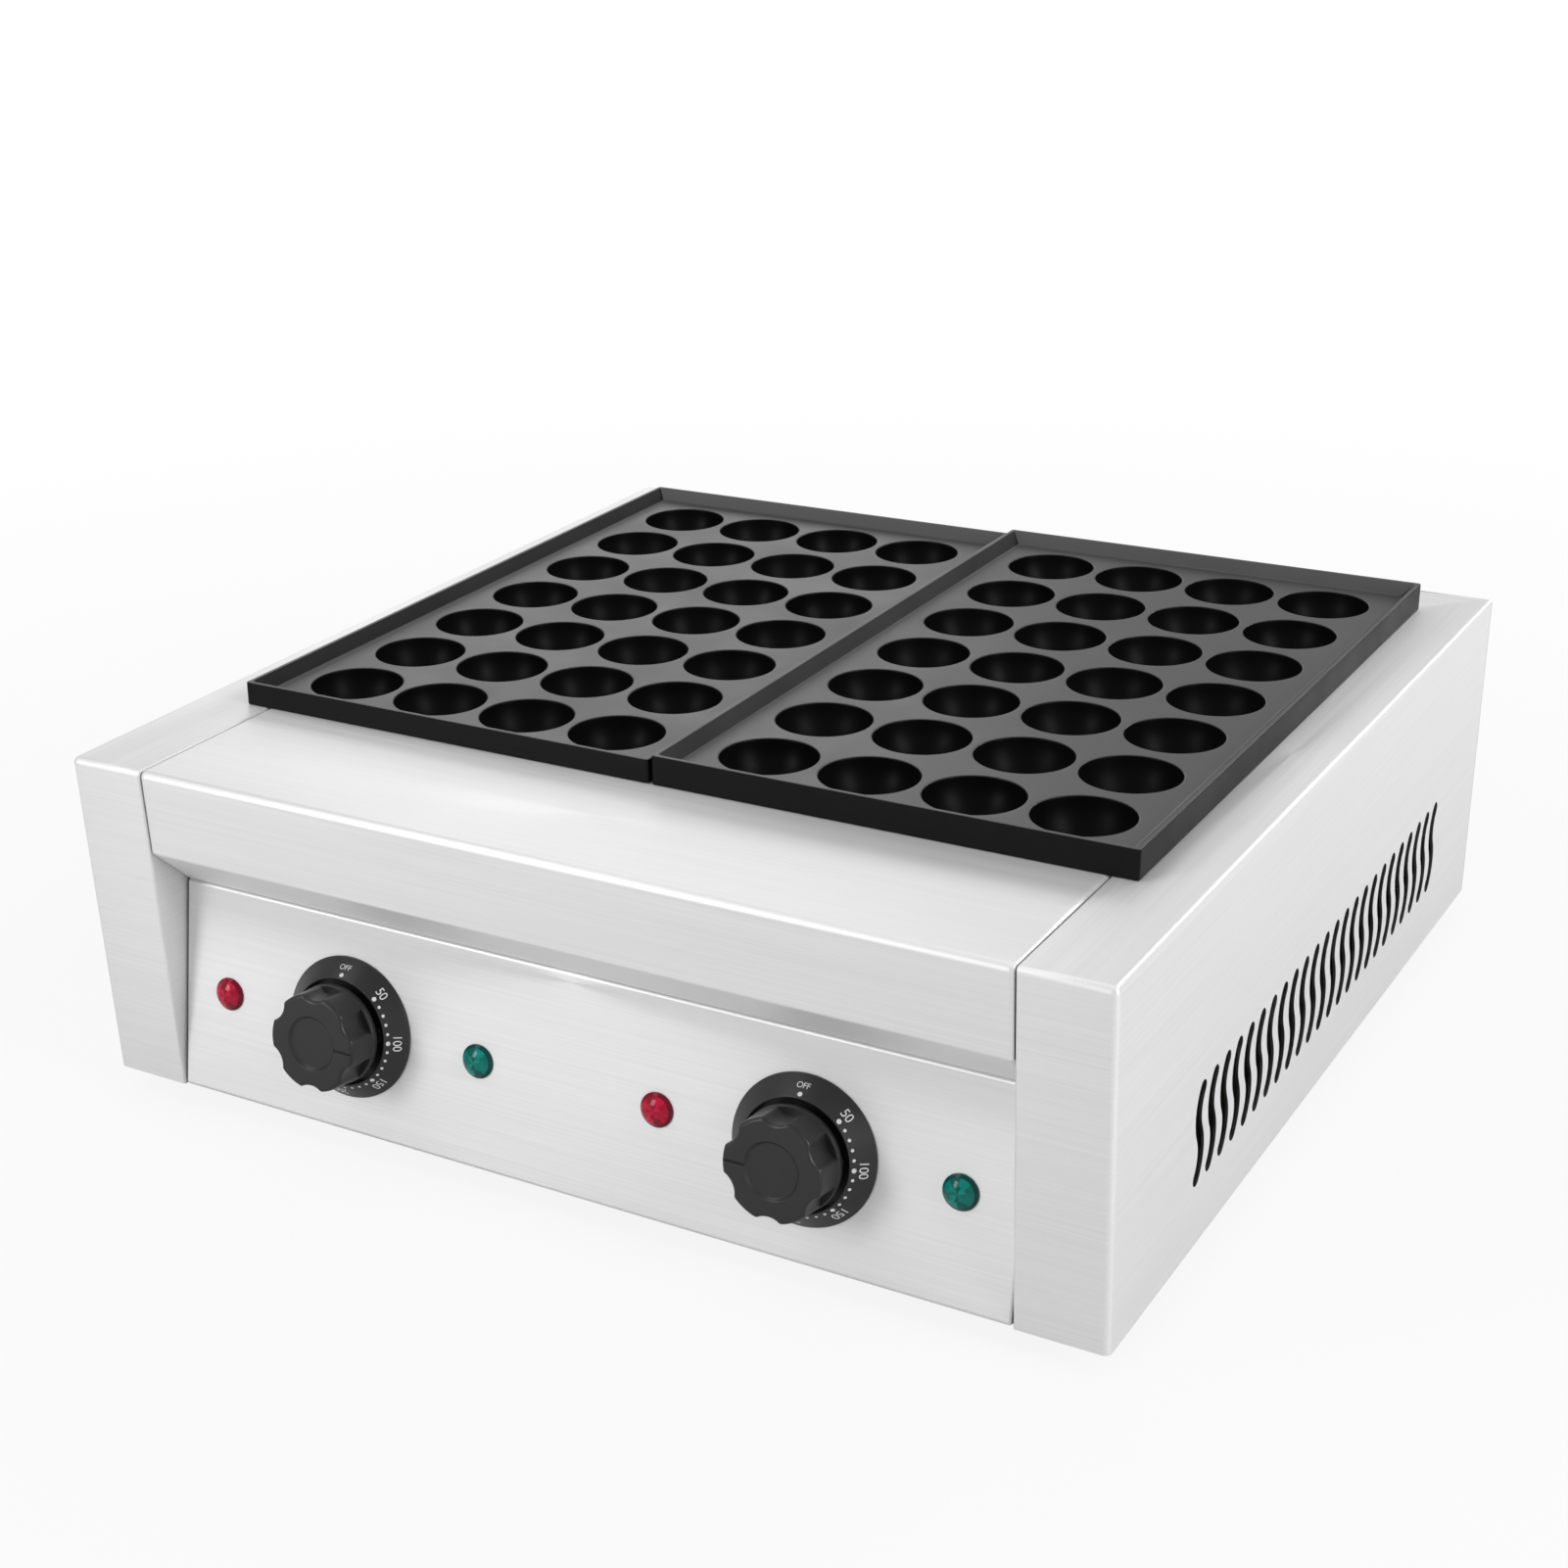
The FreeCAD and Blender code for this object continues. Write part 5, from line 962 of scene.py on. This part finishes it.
def lampLens(side, way, colour, name):
    shape = {"radius": 7.1, "edge": 1.2, "dome": 3.6, "stem": 4.7, "depth": 7.0, "core": 3.4,
             "rimShade": 0.12, "wedgeLighting": (0.55, 0.95, 0.35, 0.8, 0.5, 1.0, 0.3, 0.7)}
    radius, edge, dome, stem, depth, core, rimShade, wedgeLighting = shape.values()
    wedges = len(wedgeLighting)
    flat = radius - edge / 2
    rise = dome - edge
    ball = (flat * flat + rise * rise) / (2 * rise)
    sweep = math.asin(flat / ball)
    profile = [(0, -depth), (stem, -depth), (stem, 0.0), (radius, 0.0), (radius, edge / 2),
               (flat, edge)]
    for step in range(1, 9):
        angle = sweep * (1 - step / 9)
        profile.append((ball * math.sin(angle), dome - ball + ball * math.cos(angle)))
    piece = turned(name, profile + [(0, dome)])
    facetLightingLayer = piece.data.attributes.new("facet", "FLOAT", "FACE")
    # painted light and shade: each wedge, turned half a wedge near the middle, gets its own light
    # tone, and the rim and stem a dark painted shade
    for polygon in piece.data.polygons:
        spot = polygon.center / mm
        out = math.hypot(spot.x, spot.y)
        angle = (math.atan2(spot.y, spot.x) / math.tau * wedges) % wedges
        tone = wedgeLighting[int(angle + (0.5 if out < core else 0)) % wedges]
        if spot.z < edge or out > flat * 0.93:
            tone = rimShade
        facetLightingLayer.data[polygon.index].value = tone
    paint(piece, colour)
    onPanel(piece, side * controls["offset"] + way * controls["lamp"])
    shade(piece)
    return done(piece, "cooker_body", colour + "_lens", name)


for side, label in ((-1, "left"), (1, "right")):
    knob(side, label + "_knob")
    dialBezel(side, label + "_dial_bezel")
    dialPrint(side, label + "_dial_print")
    lampLens(side, -1, "red", label + "_red_lamp_lens")
    lampLens(side, 1, "green", label + "_green_lamp_lens")
print("controls made")


def rubberFeet():
    shape = {"top": 10.0, "bottom": 8.5, "height": 10.0, "recess": 5.0, "well": 5.0, "bore": 2.75}
    low, high = box("left_front_foot")
    farLow, farHigh = box("right_back_foot")
    item = turned("footItem", rounded([
        (shape["bore"], shape["recess"]), (shape["well"], shape["recess"]), (shape["well"], 0),
        (shape["bottom"], 0), (shape["top"], shape["height"]), (shape["bore"], shape["height"]),
        (shape["bore"], shape["recess"]),
    ], [0, 0, 0.3, 0.8, 0.6, 0, 0], steps=4))
    start, far = (low + high) / 2, (farLow + farHigh) / 2
    return rowsOf("rubber_feet", item, (2, (far.x - start.x, 0, 0)), (2, (0, far.y - start.y, 0)),
                  (start.x, start.y, 0), "rubber", "rubber", 40,
                  "left_front_foot", "right_front_foot", "left_back_foot", "right_back_foot")


screw = {"head": 3.8, "height": 2.2, "shank": 2.0, "length": 7.0, "arm": 0.62, "slot": 0.24}


def screwRows(name, turnAngle, first, second, start):
    # pan heads with a cross recess, made with their shanks along -Z and then turned about X
    head, height, shank, length = (screw[key] for key in ("head", "height", "shank", "length"))
    item = turned("screwItem", rounded([
        (0, -length), (shank, -length), (shank, 0), (head, 0), (head, height * 0.45),
        (head * 0.55, height), (0, height),
    ], [0, 0.3, 0, 0.15, head * 0.3, 0.8, 0], steps=5), 40)
    made = bmesh.new()
    for turn in (0, math.pi / 2):
        addBlock(made, (2 * head * screw["arm"], head * screw["slot"], height * 1.3),
                 (0, 0, height * 1.1), turn)
    cutAway(item, pieceFrom("crossCutter", made), crossing=True)
    item.data.transform(Matrix.Rotation(turnAngle, 4, "X"))
    return rowsOf(name, item, first, second, start, "zinc", "zinc_steel", 35, name)


def bodyScrews():
    head = screw["head"]
    low, high = box("back_panel_screws")
    screwRows("back_panel_screws", -math.pi / 2, (2, (high.x - low.x - 2 * head, 0, 0)),
              (3, (0, 0, (high.z - low.z - 2 * head) / 2)),
              (low.x + head, sheet["back"], low.z + head))
    low, high = box("base_screws")
    screwRows("base_screws", math.pi, (3, ((high.x - low.x - 2 * head) / 2, 0, 0)),
              (2, (0, high.y - low.y - 2 * head, 0)), (low.x + head, low.y + head, sheet["floor"]))


def cordGland():
    shape = {"collar": 11.0, "collarDepth": 4.0, "cap": 9.0, "stand": 12.0, "bore": 4.2,
             "barrel": 7.5, "inside": 11.2, "ribs": 12, "rib": 0.5, "flats": 6, "flat": 0.93}
    collar, collarDepth, cap, stand, bore, barrel, inside, ribs, rib, flats, flat = shape.values()

    def reach(radius, angle, height):
        if abs(radius - cap) < 0.2 and collarDepth < height:
            return radius - (0 if math.cos(angle * ribs) > 0 else rib)
        if abs(radius - collar) < 0.2:
            sector = math.tau / flats
            off = (angle % sector) - sector / 2
            return min(radius, collar * flat / math.cos(off))
        return radius

    piece = turned("cord_gland", rounded([
        (bore, -inside), (barrel, -inside), (barrel, 0), (collar, 0), (collar, collarDepth),
        (cap, collarDepth + 0.01), (cap, stand - 0.6), (cap - 1.4, stand), (bore, stand),
        (bore, -inside),
    ], [0, 0.3, 0, 0.3, 0.4, 0, 0.6, 0.6, 0.5, 0], steps=4), 144, reach)
    low, high = box("cord_gland")
    place = Vector(((low.x + high.x) / 2, sheet["back"], (low.z + high.z) / 2)) * mm
    piece.data.transform(Matrix.Translation(place) @ Matrix.Rotation(-math.pi / 2, 4, "X"))
    paint(piece, "gland")
    shade(piece, 35)
    return done(piece, "cooker_body", "gland_plastic", "cord_gland")


rubberFeet()
bodyScrews()
cordGland()
print("feet, screws and gland made")


# nodes that keep their CAD shape: single ones, and those in left and right pairs
kept = {
    # the inside sheets take the liner steel, darkened as painted shade
    "shadedLiner": (["base_plate", "heater_chamber", "centre_divider"], ["reflector_pan", "heater_rests"]),
    "zinc": (["foot_screws", "foot_nuts"], ["spindle", "thermostat_screws"]),
    "gland": (["gland_nut"], []),
    "ceramic": (["terminal_block"], ["heater_bushes"]),
    "brass": (["earth_stud"], []),
    "insulation": ([], ["insulation_mat"]),
    "sheath": ([], ["heater_element"]),
    "copper": ([], ["sensor_bulb"]),
    "switch": ([], ["thermostat"]),
    "lampBody": ([], ["red_lamp_body", "green_lamp_body"]),
}
for look, (single, paired) in kept.items():
    names = single + [label + name for label in ("left_", "right_") for name in paired]
    for name in names:
        paint(cad[name], look)
    print("kept CAD nodes in", look + ":", len(names))


def studio():
    look = {"floor": 6.0, "below": 0.0004, "near": 0.88, "mirrored": 0.8, "ambient": 0.42,
            "glossy": 0.52}
    half, level = look["floor"], -look["below"]
    mesh = bpy.data.meshes.new("floor")
    mesh.from_pydata([(-half, -half, level), (half, -half, level), (half, half, level),
                      (-half, half, level)], [], [(0, 1, 2, 3)])
    floor = newPiece("floor", mesh)
    material, tree, shader = newMaterial("paleFloor", {"Roughness": 0.9})
    cloud = objectNoise(tree, 3.0, detail=2.0)
    feed(shader, twoTone(tree, cloud, (0.62, 0.62, 0.62), (0.66, 0.66, 0.66)))
    path = addNode(tree, "ShaderNodeLightPath").outputs
    glow = addNode(tree, "ShaderNodeEmission", {"Color": (1, 1, 1, 1), "Strength": 1.0})
    # the floor is white to the camera, the more so the further out, and in reflections it glows less:
    # painted light that grows from nothing near the object to its full share further out, leaving a
    # painted shade round its foot
    where = addNode(tree, "ShaderNodeTexCoord").outputs["Object"]
    away = addNode(tree, "ShaderNodeVectorMath", {0: where}, operation="LENGTH").outputs["Value"]
    white = spread(tree, away, look["near"], 1.0, 0.35, 1.2)
    reflectedGlow = spread(tree, away, 0.0, look["mirrored"], 0.3, 0.8)
    direct = compute(tree, "MULTIPLY", path["Is Camera Ray"], white)
    share = compute(tree, "MULTIPLY_ADD", path["Is Glossy Ray"], reflectedGlow, direct)
    mixed = addNode(tree, "ShaderNodeMixShader", {0: share, 1: shader, 2: glow})
    output = [node for node in tree.nodes if node.type == "OUTPUT_MATERIAL"][0]
    tree.links.new(mixed.outputs["Shader"], output.inputs["Surface"])
    mesh.materials.append(material)

    world = bpy.data.worlds.new("studio")
    bpy.context.scene.world = world
    world.use_nodes = True
    tree = world.node_tree
    tree.nodes.clear()
    path = addNode(tree, "ShaderNodeLightPath").outputs
    ambient, shine, white = (
        addNode(tree, "ShaderNodeBackground", {"Color": (1, 1, 1, 1), "Strength": strength})
        for strength in (look["ambient"], look["glossy"], 1.0))
    first = addNode(tree, "ShaderNodeMixShader", {0: path["Is Glossy Ray"], 1: ambient, 2: shine})
    second = addNode(tree, "ShaderNodeMixShader", {0: path["Is Camera Ray"], 1: first, 2: white})
    addNode(tree, "ShaderNodeOutputWorld", {"Surface": second})


# each soft light's place and size in metres, and its watts; all face the object
lights = {
    "keyLight": ((-1.31, 1.87, 1.12), (1.0, 1.0), 4.6),
    "backLight": ((-0.5, 2.4, 0.9), (1.2, 0.8), 0.5),
    "seamLight": ((0.75, 1.6, 1.1), (0.35, 0.35), 6),
    "edgeLight": ((-1.15, -0.87, 1.87), (0.8, 0.8), 4),
    "panelLight": ((-1.2, -2.0, 1.0), (0.7, 1.0), 17),
    "sideLight": ((2.25, -0.5, 1.2), (0.8, 1.6), 33),
    "topLight": ((-0.3, 0.1, 2.6), (1.6, 1.6), 8),
}


def softBox(name, place, size, watts):
    light = bpy.data.lights.new(name, "AREA")
    light.shape = "RECTANGLE"
    light.size, light.size_y = size
    light.energy = watts
    lamp = bpy.data.objects.new(name, light)
    bpy.context.scene.collection.objects.link(lamp)
    lamp.location = place
    lamp.rotation_euler = (Vector((0, 0, 0.1)) - lamp.location).to_track_quat("-Z", "Y").to_euler()


def placeCamera():
    # the view's heading, tilt and roll in degrees, and where it stands in metres
    look = {"heading": 32.673, "tilt": 22.836, "roll": -1.902, "place": (0.49998, -0.97017, 0.54153),
            "lens": 60.12, "shift": (0.1216, 0.0337)}
    heading, tilt, roll = (math.radians(look[key]) for key in ("heading", "tilt", "roll"))
    ahead = Vector((-math.sin(heading) * math.cos(tilt), math.cos(heading) * math.cos(tilt),
                    -math.sin(tilt)))
    right = Vector((math.cos(heading), math.sin(heading), 0))
    up = right.cross(ahead)
    acrossAxis = right * math.cos(roll) + up * math.sin(roll)
    upAxis = up * math.cos(roll) - right * math.sin(roll)
    data = bpy.data.cameras.new("camera")
    data.sensor_width = 36.0
    data.lens = look["lens"]
    data.shift_x, data.shift_y = look["shift"]
    data.clip_start, data.clip_end = 0.02, 30
    camera = bpy.data.objects.new("camera", data)
    bpy.context.scene.collection.objects.link(camera)
    turn = Matrix((acrossAxis, upAxis, -ahead)).transposed()
    camera.matrix_world = Matrix.Translation(look["place"]) @ turn.to_4x4()
    bpy.context.scene.camera = camera


studio()
for name, values in lights.items():
    softBox(name, *values)
placeCamera()
bpy.context.scene.view_settings.view_transform = "Standard"
print("stage set")
